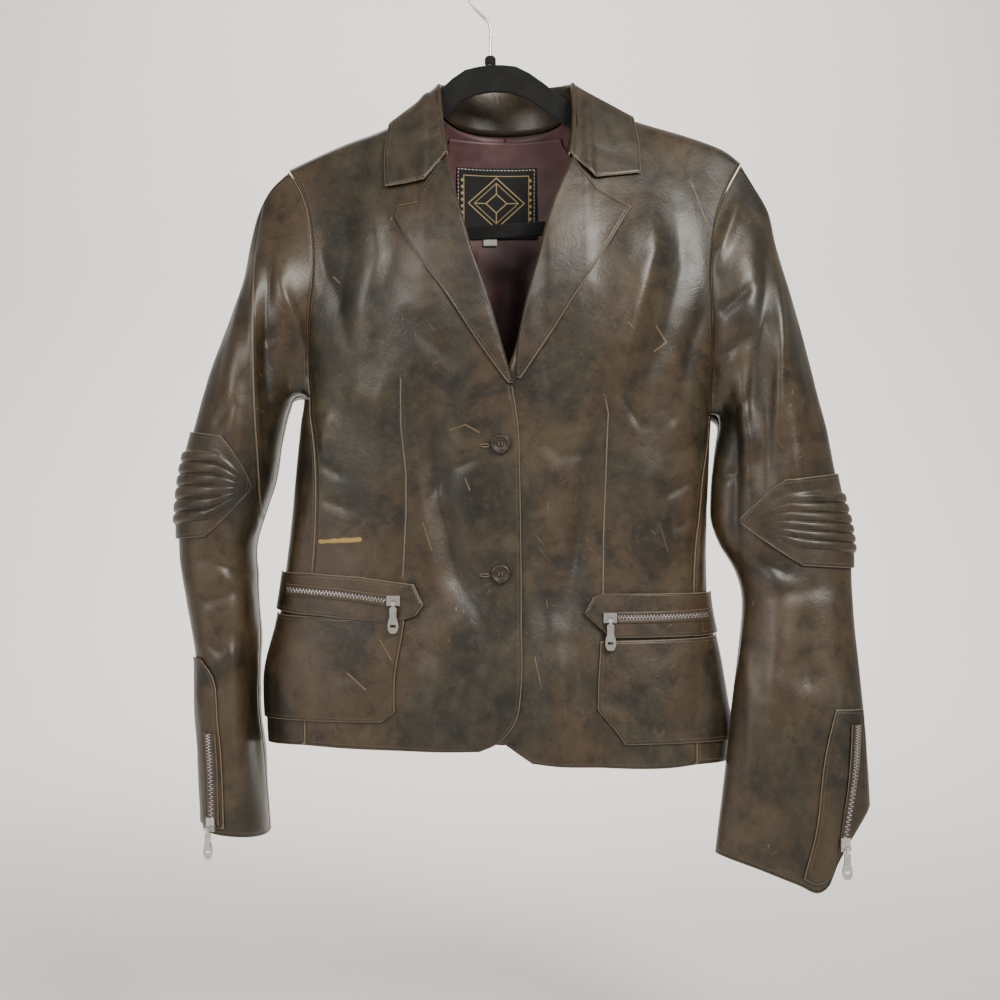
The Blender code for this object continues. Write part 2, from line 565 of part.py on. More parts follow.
class Sleeve:
    """One sleeve's surface, read at a station from 0 to 17 and an angle round it from its inner edge."""

    def __init__(self, side):
        right = side == "right"
        self.sign = -1 if right else 1
        self.row = stations(SLEEVE_RIGHT if right else SLEEVE_LEFT)
        self.folds = FOLDS_SLEEVE_RIGHT if right else FOLDS_SLEEVE_LEFT
        self.drop = None if right else smooth(CUFF_DROP_LEFT)
        seam = SIDE_SEAM_RIGHT if right else SIDE_SEAM_LEFT
        back = BACK_SEAM_RIGHT if right else BACK_SEAM_LEFT
        fronts = ARMHOLE_RIGHT if right else ARMHOLE_LEFT
        backs = BACK_ARMHOLE_RIGHT if right else BACK_ARMHOLE_LEFT
        under = (seam[-1][1] + back[-1][1]) / 2
        middle = body(self.sign * math.pi / 2, under)
        rise = np.array([0, 0, 1.0])
        self.front = path([middle + rise] + [body(angle_at(x, z), z) for x, z in fronts])
        self.back = path([middle + rise] + [body(angle_at(x, z, False), z) for x, z in backs])

    def armhole(self, angle):
        turn = angle % (2 * math.pi)
        curve, part = (self.front, turn / math.pi) if turn <= math.pi else (self.back, 2 - turn / math.pi)
        return curve(part) + np.array([self.sign * SLEEVE_CLEAR, 0, 0.6])

    def plain(self, t, angle):
        outer_x, outer_z, inner_x, inner_z, depth, centre = self.row(t)
        across = power(math.cos(angle), 2 / SLEEVE_POWER)
        face = power(math.sin(angle), 2 / SLEEVE_POWER)
        x = (outer_x + inner_x) / 2 + (inner_x - outer_x) / 2 * across
        z = (outer_z + inner_z) / 2 + (inner_z - outer_z) / 2 * across
        return np.array([x, centre - depth * face, z]), across, face

    def middle(self, t, angle):
        spot, across, face = self.plain(t, angle)
        blend = 1 - ramp(t / HEAD_STATIONS)
        if blend:
            spot = spot + blend * (self.armhole(angle) - self.plain(0, angle)[0])
        if self.drop and t > 15:
            fall = self.drop((1 - across) / 2) * (1 if face >= 0 else CUFF_DROP_BACK)
            spot[2] -= fall * ((t - 15) / 2) ** 2
        lift = 0.0
        for t0, a0, t1, a1, width, height in self.folds:
            part = (t - t0) / (t1 - t0)
            half = abs(self.row(t)[0] - self.row(t)[2]) / 2
            aside = (across - (a0 + (a1 - a0) * part)) * half / width
            ends = ramp((part + 0.15) / 0.35) * ramp((1.15 - part) / 0.35)
            lift += height * ends * math.exp(-aside * aside)
        spot[1] -= lift * face * (1 if face >= 0 else BACK_FOLD_PART)
        return spot

    def point(self, t, angle, out=0.0):
        spot = self.middle(t, angle)
        if not out:
            return spot
        down = self.middle(min(t + 0.05, 17), angle) - self.middle(max(t - 0.05, 0), angle)
        round_it = self.middle(t, angle + 0.02) - self.middle(t, angle - 0.02)
        normal = np.cross(round_it, down) * -self.sign
        return spot + out * normal / np.linalg.norm(normal)


def front_angle(across):
    """The angle round a sleeve's front where it lies this far across: 1 inner, -1 outer."""
    return math.acos(power(min(max(across, -1), 1), SLEEVE_POWER / 2))


def sleeve_pieces(side, collection):
    sleeve = Sleeve(side)
    rows = [0, 0.5, 1, 1.6, 2.3, 3, 4, 5, 6, 7, 8, 9, 10, 11, 12, 13, 14, 15, 16, 16.5, 17]

    def upper(s, v):
        return sleeve.point(v, SEAM_ANGLE + (math.pi - 2 * SEAM_ANGLE) * s)

    def under(s, v):
        return sleeve.point(v, 2 * math.pi - SEAM_ANGLE - (math.pi - 2 * SEAM_ANGLE) * s)

    sheet(f"sleeve_{side}_upper", even(11), rows, upper, LEATHER, hide(), collection)
    sheet(f"sleeve_{side}_under", even(7), rows, under, LEATHER, hide(), collection)
    elbow_patch(side, sleeve, collection)
    cuff(side, sleeve, collection)


def pleat(p):
    """The height of the pleats at a place from -1 to 1 across the patch."""
    if abs(p) >= PLEAT_REACH:
        return 0.0
    turn = 2 * math.pi * PLEATS * (p + PLEAT_REACH) / (2 * PLEAT_REACH)
    return PLEAT_HEIGHT * 0.5 * (1 - math.cos(turn + 0.5 * math.sin(turn)))


def elbow_patch(side, sleeve, collection):
    middle, half, apex = ELBOW_RIGHT if side == "right" else ELBOW_LEFT
    rows = [-1, -0.82, -PLEAT_REACH] + even(3 * PLEATS, -PLEAT_REACH, PLEAT_REACH)[1:] + [0.82, 1]

    def place(q, p):
        taper = min(1, (0.012 + min(q, 1 - q)) / ELBOW_TAPER)
        angle = apex + (2 * math.pi - 2 * apex) * q
        window = ramp((min(q, 1 - q) - 0.06) / 0.14)
        out = LEATHER / 2 + WIDE_LAP + TRIM / 2 + pleat(p) * window
        return sleeve.point(middle + p * half * taper, angle, out)

    across = [0, 0.05, 0.11] + even(7, 0.18, 0.82) + [0.89, 0.95, 1]
    sheet(f"elbow_{side}", across, rows, place, TRIM, hide_trim(), collection)


def cuff(side, sleeve, collection):
    right = side == "right"
    inner = path(PLACKET_RIGHT if right else PLACKET_LEFT)
    on_sleeve = LEATHER / 2 + CUFF_LAP + TRIM / 2
    on_placket = on_sleeve + TRIM + LAP
    on_zip = on_placket + TRIM / 2 + SLIDER_CLEAR

    def placket(s, v):
        t, across = inner(v)
        start = front_angle(PLACKET_RIM)
        angle = start + (front_angle(across) - start) * s
        return sleeve.point(t, angle, on_sleeve)

    sheet(f"placket_{side}", even(5), even(7), placket, TRIM, hide_trim(), collection)
    line = path(CUFF_ZIP_RIGHT if right else CUFF_ZIP_LEFT)
    half = 2 * CUFF_ZIP_HALF / abs(sleeve.row(16)[0] - sleeve.row(16)[2])

    def strip(s, v):
        t, across = line(v)
        angle = front_angle(across + half * (2 * s - 1))
        return sleeve.point(t, angle, on_placket)

    sheet(f"zip_cuff_{side}", even(1), even(7), strip, TRIM, tape(), collection)
    t, across = line(1)
    angle = front_angle(across)
    spot = sleeve.point(t, angle, on_zip)
    ahead = sleeve.point(t, angle, on_zip + 1) - spot
    zip_slider(f"cuff_{side}", spot, ahead, False, collection)


def round_body(points):
    """Straight runs between (x, z) points, in (angle, z), so that they go evenly round the side."""
    curve = path([(TURN_RADIUS * angle_at(x, z), z) for x, z in points], straight=True)

    def spot(t):
        return curve(t) / (TURN_RADIUS, 1)

    return spot


def laid_sheet(name, edges, columns, rows, out, collection):
    """A flat piece laid on the front, between its inner, outer, lower and upper edges."""
    patch = coons(*(round_body(edge) for edge in edges))

    def place(s, v):
        return body(*patch(s, v), out)

    sheet(name, even(columns), even(rows), place, TRIM, hide_trim(), collection)


def zip_strip(name, start, end, out, collection):
    """A zip laid on the front between two curves of (angle, z)."""

    def place(s, v):
        first, last = start(v), end(v)
        angle, z = first * (1 - s) + last * s
        return body(angle, z, out)

    sheet(name, even(1), even(12), place, TRIM, tape(), collection)


def pocket(side, collection):
    right = side == "right"
    first = LEATHER / 2 + WIDE_LAP + TRIM / 2
    second = first + TRIM + LAP
    laid_sheet(f"pocket_{side}", PATCH_RIGHT if right else PATCH_LEFT, 12, 6, first, collection)
    laid_sheet(f"pocket_band_{side}", BAND_RIGHT if right else BAND_LEFT, 12, 4, second, collection)
    line = path(ZIP_RIGHT if right else ZIP_LEFT)

    def edge(shift):
        def spot(t):
            x, z = line(t)
            return np.array([angle_at(x, z + shift), z + shift])

        return spot

    third = second + TRIM + LAP
    zip_strip(f"zip_pocket_{side}", edge(ZIP_HALF), edge(-ZIP_HALF), third, collection)
    x, z = line(1 if right else 0)
    x += SLIDER_SHIFT if right else -SLIDER_SHIFT
    spot = body(angle_at(x, z), z, third - TRIM / 2 + SLIDER_CLEAR)
    zip_slider(f"pocket_{side}", spot, np.array([0, -1.0, 0]), True, collection)


def box(name, size, at, look, collection):
    mesh = bmesh.new()
    bmesh.ops.create_cube(mesh, size=1.0, matrix=Matrix.Diagonal(Vector((*size, 1))) * MM)
    for vertex in mesh.verts:
        vertex.co = Vector(vertex.co) + Vector(at) * MM
    data = bpy.data.meshes.new(name)
    mesh.to_mesh(data)
    mesh.free()
    return add_object(name, data, look, collection)


def rod(name, radius, length, at, look, collection, sides=12):
    """A cylinder along X."""
    mesh = bmesh.new()
    bmesh.ops.create_cone(mesh, cap_ends=True, segments=sides, radius1=radius * MM, radius2=radius * MM,
                          depth=length * MM)
    turn = Matrix.Translation(Vector(at) * MM) @ Matrix.Rotation(math.pi / 2, 4, "Y")
    bmesh.ops.transform(mesh, matrix=turn, verts=mesh.verts)
    data = bpy.data.meshes.new(name)
    mesh.to_mesh(data)
    mesh.free()
    return add_object(name, data, look, collection)


def cutter(made, guides):
    """Moves an object to the collection of helpers that aren't part of the model."""
    for owner in made.users_collection:
        owner.objects.unlink(made)
    guides.objects.link(made)
    made.hide_render = True
    made.display_type = "WIRE"
    return made


def combine(made, other, operation, guides):
    joint = made.modifiers.new(other.name, "BOOLEAN")
    joint.operation = operation
    joint.object = cutter(other, guides)


def guides_collection():
    found = bpy.data.collections.get("helpers")
    if found:
        return found
    found = bpy.data.collections.new("helpers")
    bpy.context.scene.collection.children.link(found)
    return found


def zip_slider(name, spot, ahead, along, collection):
    """A slider with two lugs and a pin, and the pull tab that hangs from the pin.

    In its own frame the pin runs along X, the slider faces -Y and the tab hangs down -Z.
    """
    guides = guides_collection()
    ahead = Vector(ahead).normalized()
    turn = math.atan2(ahead.x, -ahead.y)
    frame = Matrix.Translation(Vector(spot) * MM) @ Matrix.Rotation(turn, 4, "Z")
    wide, tall = (SLIDER_LONG, SLIDER_WIDE) if along else (SLIDER_WIDE, SLIDER_LONG)
    size = (wide, SLIDER_THICK, tall)
    plate = box(f"slider_{name}", size, (0, -SLIDER_THICK / 2, 0), nickel(), collection)
    pin_y, pin_z = -SLIDER_THICK - PIN_RISE, -tall / 2 + 2.6
    for end in (-1, 1):
        at = (end * (LUG_GAP + LUG_THICK) / 2, -SLIDER_THICK - LUG_TALL / 2 + 0.5, pin_z)
        lug = box(f"{name}_lug_{end}", (LUG_THICK, LUG_TALL + 1, 3.4), at, nickel(), collection)
        combine(plate, lug, "UNION", guides)
        lug.matrix_world = frame
    pin = rod(f"{name}_pin", PIN_RADIUS, LUG_GAP + LUG_THICK, (0, pin_y, pin_z), nickel(), collection)
    combine(plate, pin, "UNION", guides)
    pin.matrix_world = frame
    plate.matrix_world = frame
    pull = pull_tab(name, collection, guides)
    pull.matrix_world = frame @ Matrix.Translation(Vector((0, pin_y, pin_z)) * MM)
    for helper in guides.objects:
        if helper.name.startswith(f"{name}_eye") or helper.name.startswith(f"{name}_blade"):
            helper.matrix_world = pull.matrix_world


def pull_tab(name, collection, guides):
    """A tab whose eye turns on the pin at its origin."""
    pull = rod(f"pull_{name}", EYE_RADIUS, EYE_WIDTH, (0, 0, 0), nickel(), collection, 14)
    half = [(EYE_WIDTH / 2 - 0.1, -1.4), (EYE_WIDTH / 2 - 0.1, -3.2), (PULL_WAIST / 2, -4.6),
            (PULL_WAIST / 2 - 0.3, -12),
            (PULL_FLARE / 2 - 0.6, -16), (PULL_FLARE / 2, -19.5), (PULL_FLARE / 2 - 0.3, -23),
            (PULL_FLARE / 2 - 1.6, -PULL_LENGTH + 0.9), (PULL_FLARE / 2 - 3.4, -PULL_LENGTH)]
    rim = half + [(-x, z) for x, z in reversed(half)]
    blade = flat_outline(f"{name}_blade", [rim], PULL_THICK, nickel(), collection)
    combine(pull, blade, "UNION", guides)
    bore = rod(f"{name}_eye_bore", EYE_BORE, EYE_WIDTH + 4, (0, 0, 0), nickel(), collection, 14)
    combine(pull, bore, "DIFFERENCE", guides)
    hole = box(f"{name}_eye_hole", (PULL_FLARE - 4.6, 6, 2.4), (0, 0, -20.4), nickel(), collection)
    combine(pull, hole, "DIFFERENCE", guides)
    return pull


def flat_outline(name, rims, thickness, look, collection, bevel=0.0):
    """A plate in the XZ plane from closed outlines, the first one outside and the others holes."""
    curve = bpy.data.curves.new(name, "CURVE")
    curve.dimensions = "2D"
    curve.fill_mode = "BOTH"
    curve.extrude = (thickness / 2 - bevel) * MM
    curve.bevel_depth = bevel * MM
    curve.offset = -bevel * MM
    curve.bevel_resolution = 0
    for rim in rims:
        spline = curve.splines.new("POLY")
        spline.points.add(len(rim) - 1)
        for point, (x, z) in zip(spline.points, rim):
            point.co = (x * MM, z * MM, 0, 1)
        spline.use_cyclic_u = True
    helper = bpy.data.objects.new(name, curve)
    collection.objects.link(helper)
    bpy.context.view_layer.update()
    data = bpy.data.meshes.new_from_object(helper.evaluated_get(bpy.context.evaluated_depsgraph_get()))
    bpy.data.objects.remove(helper)
    bpy.data.curves.remove(curve)
    mesh = bmesh.new()
    mesh.from_mesh(data)
    bmesh.ops.remove_doubles(mesh, verts=mesh.verts, dist=1e-6)
    bmesh.ops.rotate(mesh, verts=mesh.verts, matrix=Matrix.Rotation(math.pi / 2, 3, "X"))
    bmesh.ops.recalc_face_normals(mesh, faces=mesh.faces)
    mesh.to_mesh(data)
    mesh.free()
    data.name = name
    data.materials.clear()
    return add_object(name, data, look, collection)


def collar(collection):
    """One folded strip: the stand inside the neck, the roll, and the fall that lies on the shoulders."""
    seam = stations(COLLAR_SEAM_RIGHT + COLLAR_SEAM_LEFT[-2::-1])
    roll = stations(COLLAR_ROLL_RIGHT + COLLAR_ROLL_LEFT[-2::-1])
    edge = stations(COLLAR_EDGE_RIGHT + COLLAR_EDGE_LEFT[-2::-1])
    last = 2 * len(COLLAR_SEAM_RIGHT) - 2
    lift = COLLAR_LIFT

    def outward(spot, target):
        step = target - spot
        step[2] = 0
        return step / np.linalg.norm(step)

    def place(s, v):
        t = s * last
        low, top = seam(t), roll(t)
        x, drop = edge(t)
        rim = over_shoulder(x, drop, lift)
        aside = outward(low, rim)
        below = np.array([0, 0, ROLL_RISE])
        inner = top - ROLL_RADIUS * aside - below
        outer = top + ROLL_RADIUS * aside - below
        if v <= 1:
            return low + (inner - low) * v
        if v < 2:
            turn = math.pi * (v - 1)
            return top - ROLL_RADIUS * math.cos(turn) * aside + (math.sin(turn) - 1) * below
        w = v - 2
        spot = outer + (rim - outer) * w
        end = max(0, 1 - min(t, last - t))
        spot[2] -= GORGE_DIP * end * end * min(w / GORGE_PART, (1 - w) / (1 - GORGE_PART))
        return clear_of_body(spot, lift)

    half = [t / last for t in COLLAR_COLUMNS]
    across = half + [1 - s for s in half[-2::-1]]
    up = [0, 0.5, 1, 1.25, 1.5, 1.75, 2, 2 + GORGE_PART / 2, 2 + GORGE_PART, 2.55, 2.78, 3]
    sheet("collar", across, up, place, LEATHER, hide(), collection)


def shoulder_section(x, lift):
    """The cut across the shoulder at x, moved out: (y, z) from the front over the ridge to the back."""
    middle = []
    for front in (True, False):
        top = ridge(x, front)
        half = [body_middle(angle_at(x, top - drop, front), top - drop)[1:] for drop in SECTION_DROPS]
        middle += half[::-1] if front else half
    middle = np.array(middle)
    lean = np.gradient(middle, axis=0)
    lean /= np.linalg.norm(lean, axis=1)[:, None]
    slope = (shoulder(x + 1) - shoulder(x - 1)) / 2
    normal = np.stack([-lean[:, 1], lean[:, 0]], axis=1)
    return middle + lift * math.hypot(1, slope) * normal


def over_shoulder(x, drop, lift):
    """A point above the panels at a drop from the shoulder line, negative in front."""
    curve = shoulder_section(x, lift)
    drops = [-d for d in SECTION_DROPS[::-1]] + SECTION_DROPS
    y, z = (float(np.interp(drop, drops, curve[:, i])) for i in (0, 1))
    return np.array([x, y, z])


def clear_of_body(spot, lift):
    """The spot, moved out where it would sink into the panels."""
    x, y, z = spot
    curve = shoulder_section(x, lift)
    if not curve[0, 0] < y < curve[-1, 0] or z > np.interp(y, curve[:, 0], curve[:, 1]):
        return spot
    starts, steps = curve[:-1], np.diff(curve, axis=0)
    parts = np.clip(((np.array([y, z]) - starts) * steps).sum(1) / (steps * steps).sum(1), 0, 1)
    feet = starts + parts[:, None] * steps
    near = feet[np.argmin(np.linalg.norm(feet - [y, z], axis=1))]
    return np.array([x, *near])


def lapel(side, collection):
    right = side == "right"
    roll = LAPEL_ROLL_RIGHT if right else LAPEL_ROLL_LEFT
    edge = LAPEL_EDGE_RIGHT if right else LAPEL_EDGE_LEFT
    top = LAPEL_TOP_RIGHT if right else LAPEL_TOP_LEFT
    start, end = on_body(path(roll)), on_body(path(edge))
    across = [0, 0.2, 0.42, 0.6, 0.8, 1.0]

    def bottom(s):
        return start(0) * (1 - s) + end(0) * s

    patch = coons(start, end, bottom, on_body(path(top, straight=True)))

    def place(s, v):
        angle, z = patch(s, v)
        out = LEATHER + LAPEL_LIFT
        if not right:
            out += under_lap(body_middle(angle, z)[0])
        return body(angle, z, out)

    sheet(f"lapel_{side}", across, even(12), place, LEATHER, hide_trim(), collection)


def button(index, collection):
    """A turned button with a raised rim and four holes, facing -Y."""
    x, z = BUTTON_SPOTS[index]
    spot = body(angle_at(x, z), z, LEATHER / 2)
    mesh = bmesh.new()
    ring = [mesh.verts.new((radius * MM, 0, height * MM)) for radius, height in BUTTON_PROFILE]
    for first, second in zip(ring, ring[1:]):
        mesh.edges.new((first, second))
    data = bpy.data.meshes.new(f"button_{index + 1}")
    mesh.to_mesh(data)
    mesh.free()
    made = add_object(f"button_{index + 1}", data, dark_horn(), collection)
    turn = made.modifiers.new("Turn", "SCREW")
    turn.steps = 14
    turn.render_steps = 14
    turn.use_merge_vertices = True
    turn.merge_threshold = 2e-5
    made.matrix_world = Matrix.Translation(Vector(spot) * MM) @ Matrix.Rotation(math.pi / 2, 4, "X")
    for number, (dx, dz) in enumerate([(-1.6, -1.6), (1.6, -1.6), (-1.6, 1.6), (1.6, 1.6)]):
        hole = rod(f"button_{index + 1}_hole_{number}", 0.8, 12, (0, 0, 0), dark_horn(), collection, 6)
        at = Matrix.Translation((dx * MM, 0, dz * MM)) @ Matrix.Rotation(math.pi / 2, 4, "Z")
        hole.matrix_world = Matrix.Translation(Vector(spot) * MM) @ at
        combine(made, hole, "DIFFERENCE", guides_collection())


def inner_pieces(collection):
    """The lining behind the open neck, with the label and the size tab on it."""

    def lining(s, v):
        z = LINING_BOTTOM + (LINING_TOP - LINING_BOTTOM) * v
        half = LINING_HALF - LINING_NARROWING * ramp((z - LINING_SHOULDER) / (LINING_TOP - LINING_SHOULDER))
        x = CENTRE_BACK + half * (2 * s - 1)
        angle = angle_at(x, z, False)
        return body(angle if angle > 0 else angle + 2 * math.pi, z, LINING_IN)

    sheet("lining_back", even(10), even(7), lining, TRIM, lining_cloth(), collection)

    def on_lining(rim, inward):
        x0, x1, z0, z1 = rim

        def place(s, v):
            x, z = x0 + (x1 - x0) * s, z0 + (z1 - z0) * v
            return body(angle_at(x, z, False), z, LINING_IN - inward)

        return place

    sheet("label", even(6), even(4), on_lining(LABEL, TRIM + WIDE_LAP), TRIM, label_cloth(), collection)
    sheet("size_tab", even(2), even(1), on_lining(SIZE_TAB, TRIM + WIDE_LAP), TRIM, ribbon(), collection)


def mirrored(points):
    return [(-x, z) for x, z in reversed(points)]


def hanger(collection):
    top, inner = smooth(HANGER_TOP), smooth(HANGER_INNER)
    crown = [(x, top(x)) for x in even(15, 0, HANGER_TOP[-1][0])]
    end = [tuple(path(HANGER_END)(t)) for t in even(5)]
    low = [(158, HANGER_BAR_BOTTOM + 5), (146, HANGER_BAR_BOTTOM)]
    half = crown + end + low
    rim = mirrored(half)[:-1] + half
    hole = [(x, inner(x)) for x in even(10, 0, HANGER_INNER[-1][0])]
    hole += [(162, -212), (163, -222), (156, -236), (142, HANGER_BAR_TOP)]
    window = mirrored(hole)[:-1] + hole
    made = flat_outline("hanger", [rim, window], 2 * HANGER_HALF, velvet(), collection, 1.0)
    pivot = Matrix.Translation((0, 0, HANGER_TOP[0][1] * MM))
    made.matrix_world = pivot @ Matrix.Rotation(-math.atan(HANGER_TILT), 4, "Y") @ pivot.inverted()
    hook(collection)


def hook(collection):
    """A round wire: the shank, a bend to one side, and the open loop that goes over the rail."""
    centre = HOOK_WIRE - HOOK_RADIUS
    points = [(0, HANGER_TOP[0][1] + 0.4), (0, -75), (0, -62), (-2.5, -56.5), (-9, -50), (-15, -43.5)]
    start, end = math.radians(216), math.radians(-28)
    for part in even(16):
        turn = start + (end - start) * part
        points.append((HOOK_RADIUS * math.cos(turn), centre + HOOK_RADIUS * math.sin(turn)))
    curve = bpy.data.curves.new("hook", "CURVE")
    curve.dimensions = "3D"
    curve.bevel_depth = HOOK_WIRE * MM
    curve.bevel_resolution = 2
    curve.use_fill_caps = True
    spline = curve.splines.new("POLY")
    spline.points.add(len(points) - 1)
    for point, (x, z) in zip(spline.points, points):
        point.co = (x * MM, 0, z * MM, 1)
    add_object("hook", curve, nickel(), collection)
    mesh = bmesh.new()
    ring = [mesh.verts.new((radius * MM, 0, height * MM)) for radius, height in reversed(SOCKET_PROFILE)]
    for first, second in zip(ring, ring[1:] + ring[:1]):
        mesh.edges.new((first, second))
    data = bpy.data.meshes.new("hook_socket")
    mesh.to_mesh(data)
    mesh.free()
    socket = add_object("hook_socket", data, velvet(), collection)
    turn = socket.modifiers.new("Turn", "SCREW")
    turn.steps = 16
    turn.render_steps = 16
    turn.use_merge_vertices = True
    turn.merge_threshold = 2e-5
    socket.location = (0, 0, (HANGER_TOP[0][1] + 0.7) * MM)


def build():
    for item in list(bpy.data.objects):
        bpy.data.objects.remove(item, do_unlink=True)
    collection = bpy.data.collections.new("leather_blazer_on_hanger")
    bpy.context.scene.collection.children.link(collection)
    hanger(collection)
    for side in ("right", "left"):
        front_panel(side, collection)
        side_panel(side, collection)
        back_panel(side, collection)
        sleeve_pieces(side, collection)
        lapel(side, collection)
        pocket(side, collection)
    collar(collection)
    inner_pieces(collection)
    for index in range(len(BUTTON_SPOTS)):
        button(index, collection)


build()
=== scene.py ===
"""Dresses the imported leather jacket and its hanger: hide with its creases and wear, seams, stitches,
zips, buttons, lining, label, velvet and wire, and the stage that they are seen on.

Sizes are in millimetres until a mesh is made. Right and left are the wearer's, so right is at -X.
"""

import functools
import math

import bmesh
import bpy
import numpy as np
from mathutils import Matrix, Vector


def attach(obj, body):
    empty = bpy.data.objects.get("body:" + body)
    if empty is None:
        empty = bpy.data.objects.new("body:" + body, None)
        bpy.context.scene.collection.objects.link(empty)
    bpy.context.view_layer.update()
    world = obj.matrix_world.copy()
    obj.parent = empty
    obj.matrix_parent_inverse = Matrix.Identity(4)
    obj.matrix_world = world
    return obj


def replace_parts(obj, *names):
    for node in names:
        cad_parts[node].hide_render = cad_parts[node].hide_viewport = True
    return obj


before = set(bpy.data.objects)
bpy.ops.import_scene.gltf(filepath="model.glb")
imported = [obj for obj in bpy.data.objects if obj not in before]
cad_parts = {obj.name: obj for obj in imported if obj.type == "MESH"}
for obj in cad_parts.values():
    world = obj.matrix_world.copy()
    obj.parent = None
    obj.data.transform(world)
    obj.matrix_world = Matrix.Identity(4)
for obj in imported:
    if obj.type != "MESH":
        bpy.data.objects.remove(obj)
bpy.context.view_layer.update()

bl_info = {
    "name": "Worn leather jacket",
    "version": (1, 0, 0),
    "blender": (4, 5, 0),
    "location": "View3D > Sidebar > Jacket",
    "description": "Dresses a worn leather jacket on a slim hanger",
    "category": "Object",
}

JACKET = "jacket"
MM = 0.001

# Walls and how far the laid pieces lie from the panel under them
LEATHER = 1.4
TRIM = 1.0
SEAM = 0.5
LAP = 0.8
WIDE_LAP = 1.5
CUFF_LAP = 1.2
SLEEVE_CLEAR = 0.3
# Levels of the pockets and their bands above the middle of the panel's wall
POCKET_LEVEL = LEATHER / 2 + WIDE_LAP + TRIM / 2
BAND_LEVEL = POCKET_LEVEL + TRIM + LAP
# How much larger a sheet's cut size is given than its face measures
CUT_EASE = 1.01

# Cells of each cloth's grid, across and up
GRIDS = {"front": (84, 190), "side": (44, 120), "placket": (30, 60), "patch": (70, 48), "band": (80, 26),
         "lapel": (44, 96), "lining": (110, 110), "label": (40, 32), "size_tab": (10, 6), "lip": (10, 80),
         "tape": (10, 70)}
# The unevenness of each cloth, as waves of a height, a stretch upwards, a size and a seed
UNEVEN = {"front": ((0.9, 0.45, 62, 3), (0.14, 1, 19, 4)), "back": ((0.35, 1, 70, 5), (0.1, 1, 17, 6)),
          "side": ((0.4, 1, 60, 7), (0.1, 1, 16, 8)), "lapel": ((0.5, 1, 60, 21), (0.12, 1, 18, 22)),
          "laid": ((0.35, 1, 70, 3), (0.1, 1, 17, 4)), "lining": ((0.8, 0.4, 34, 31),)}

# Outline of the body from the front, as (z, x)
BODY_RIGHT = [(-740, -203), (-723, -204), (-667, -206.5), (-607, -194), (-519, -182), (-431, -174.5),
              (-405, -171), (-380, -172), (-300, -185), (-196, -201), (-130, -206)]
BODY_LEFT = [(-745, 219), (-710, 221), (-686, 217), (-650, 211), (-583, 199), (-543, 198), (-519, 198.5),
             (-472, 201), (-425, 203), (-400, 206), (-300, 230), (-190, 246), (-130, 250)]

# How far the front and the back stand out, as (z, y)
FRONT_DEPTH = [(-745, 60), (-650, 56), (-560, 52), (-450, 57), (-340, 62), (-250, 60), (-130, 58)]
BACK_DEPTH = [(-745, 46), (-650, 43), (-560, 38), (-450, 42), (-340, 48), (-250, 54), (-130, 58)]
SECTION_POWER = 2.6
SWELL_DROP = 190.0
TURN_RADIUS = 150.0

# The shoulder line, as (x, z), and the neck between its inner ends
SHOULDER = [(-212, -210), (-187.5, -196), (-135, -171.5), (-96, -156.5), (-78, -145.5), (-66, -135),
            (-56, -126.5), (84, -127), (96, -136), (131, -148.8), (194, -168), (216, -177),
            (233, -190), (255, -210)]
NECK_RIGHT, NECK_LEFT = -56.0, 84.0
NECK_RISE_FRONT, NECK_RISE_BACK = 22.0, 70.0
RIDGE_HALF = 4.6
RIDGE_GAP = 0.45
RIDGE_DROP = 6.0

# Edges of the two fronts, as (x, z) from the hem up
ROW_SPLIT = 0.6
WRAP_X, WRAP_SPREAD, WRAP_GAP = 54.0, 20.0, 1.1
NECK_PART = 0.4
UNDERARM_PART = 0.99
FRONT_EDGE = {
    "right": [(-8.8, -724), (6.3, -717), (17.9, -706), (25, -692), (27.7, -672), (28.4, -607), (27.8, -530),
              (26.8, -475), (25, -431.5), (20.1, -399)],
    "left": [(38, -735), (22, -724), (3, -708), (-6, -690), (-9, -668), (-9, -607), (-9, -530), (-8, -475),
             (-4, -431), (8, -399)],
}
ROLL = {
    "right": [(20.1, -399), (10.8, -361.6), (-0.8, -320.7), (-16.8, -274), (-26.8, -238.6), (-40.4, -187),
              (-46, -165), (-52, -143), (-56, -126.5)],
    "left": [(8, -399), (20, -372), (31.2, -324.3), (42.8, -281.3), (53.7, -238.7), (72.5, -187.7),
             (77, -165), (81, -145), (84, -127)],
}
HEM = {
    "right": [(-8.8, -724), (-26.6, -724.6), (-80, -723.5), (-135, -721.9), (-166, -720.4)],
    "left": [(38, -735), (62, -737.5), (98, -738.5), (130, -740), (165, -740), (186, -738)],
}

# Seams between the fronts and the sides, and the armholes, from the hem up
SIDE_SEAM = {
    "right": [(-166, -720.4), (-165, -640), (-160.1, -564), (-158.3, -541.6), (-157, -511.8),
              (-157.1, -473.8), (-159.4, -443.9), (-162.3, -425.6), (-163.5, -405)],
    "left": [(186, -738), (184, -640), (184.2, -583.5), (186.2, -541.8), (190, -511.8), (192.6, -481.4),
             (197.5, -450.7), (199, -436), (199.8, -420)],
}
ARMHOLE = {
    "right": [(-163.5, -405), (-165.2, -384), (-166.4, -361.7), (-165.4, -343.7), (-163.6, -322.9),
              (-161.4, -305.7), (-160.8, -279.8), (-163.5, -253.3), (-168.5, -230), (-174.9, -214.1),
              (-186, -196.8)],
    "left": [(199.8, -420), (200, -402), (201.2, -357.2), (200.7, -330.4), (199.4, -299.7), (201.3, -273.8),
             (206.4, -245.3), (217, -216.8), (231.5, -190.6)],
}
BACK_SEAM = {
    "right": [(-178, -722), (-176, -640), (-165, -564), (-154, -512), (-152, -450), (-152, -403)],
    "left": [(194, -737), (190, -640), (176, -564), (174, -512), (178, -450), (182, -417)],
}
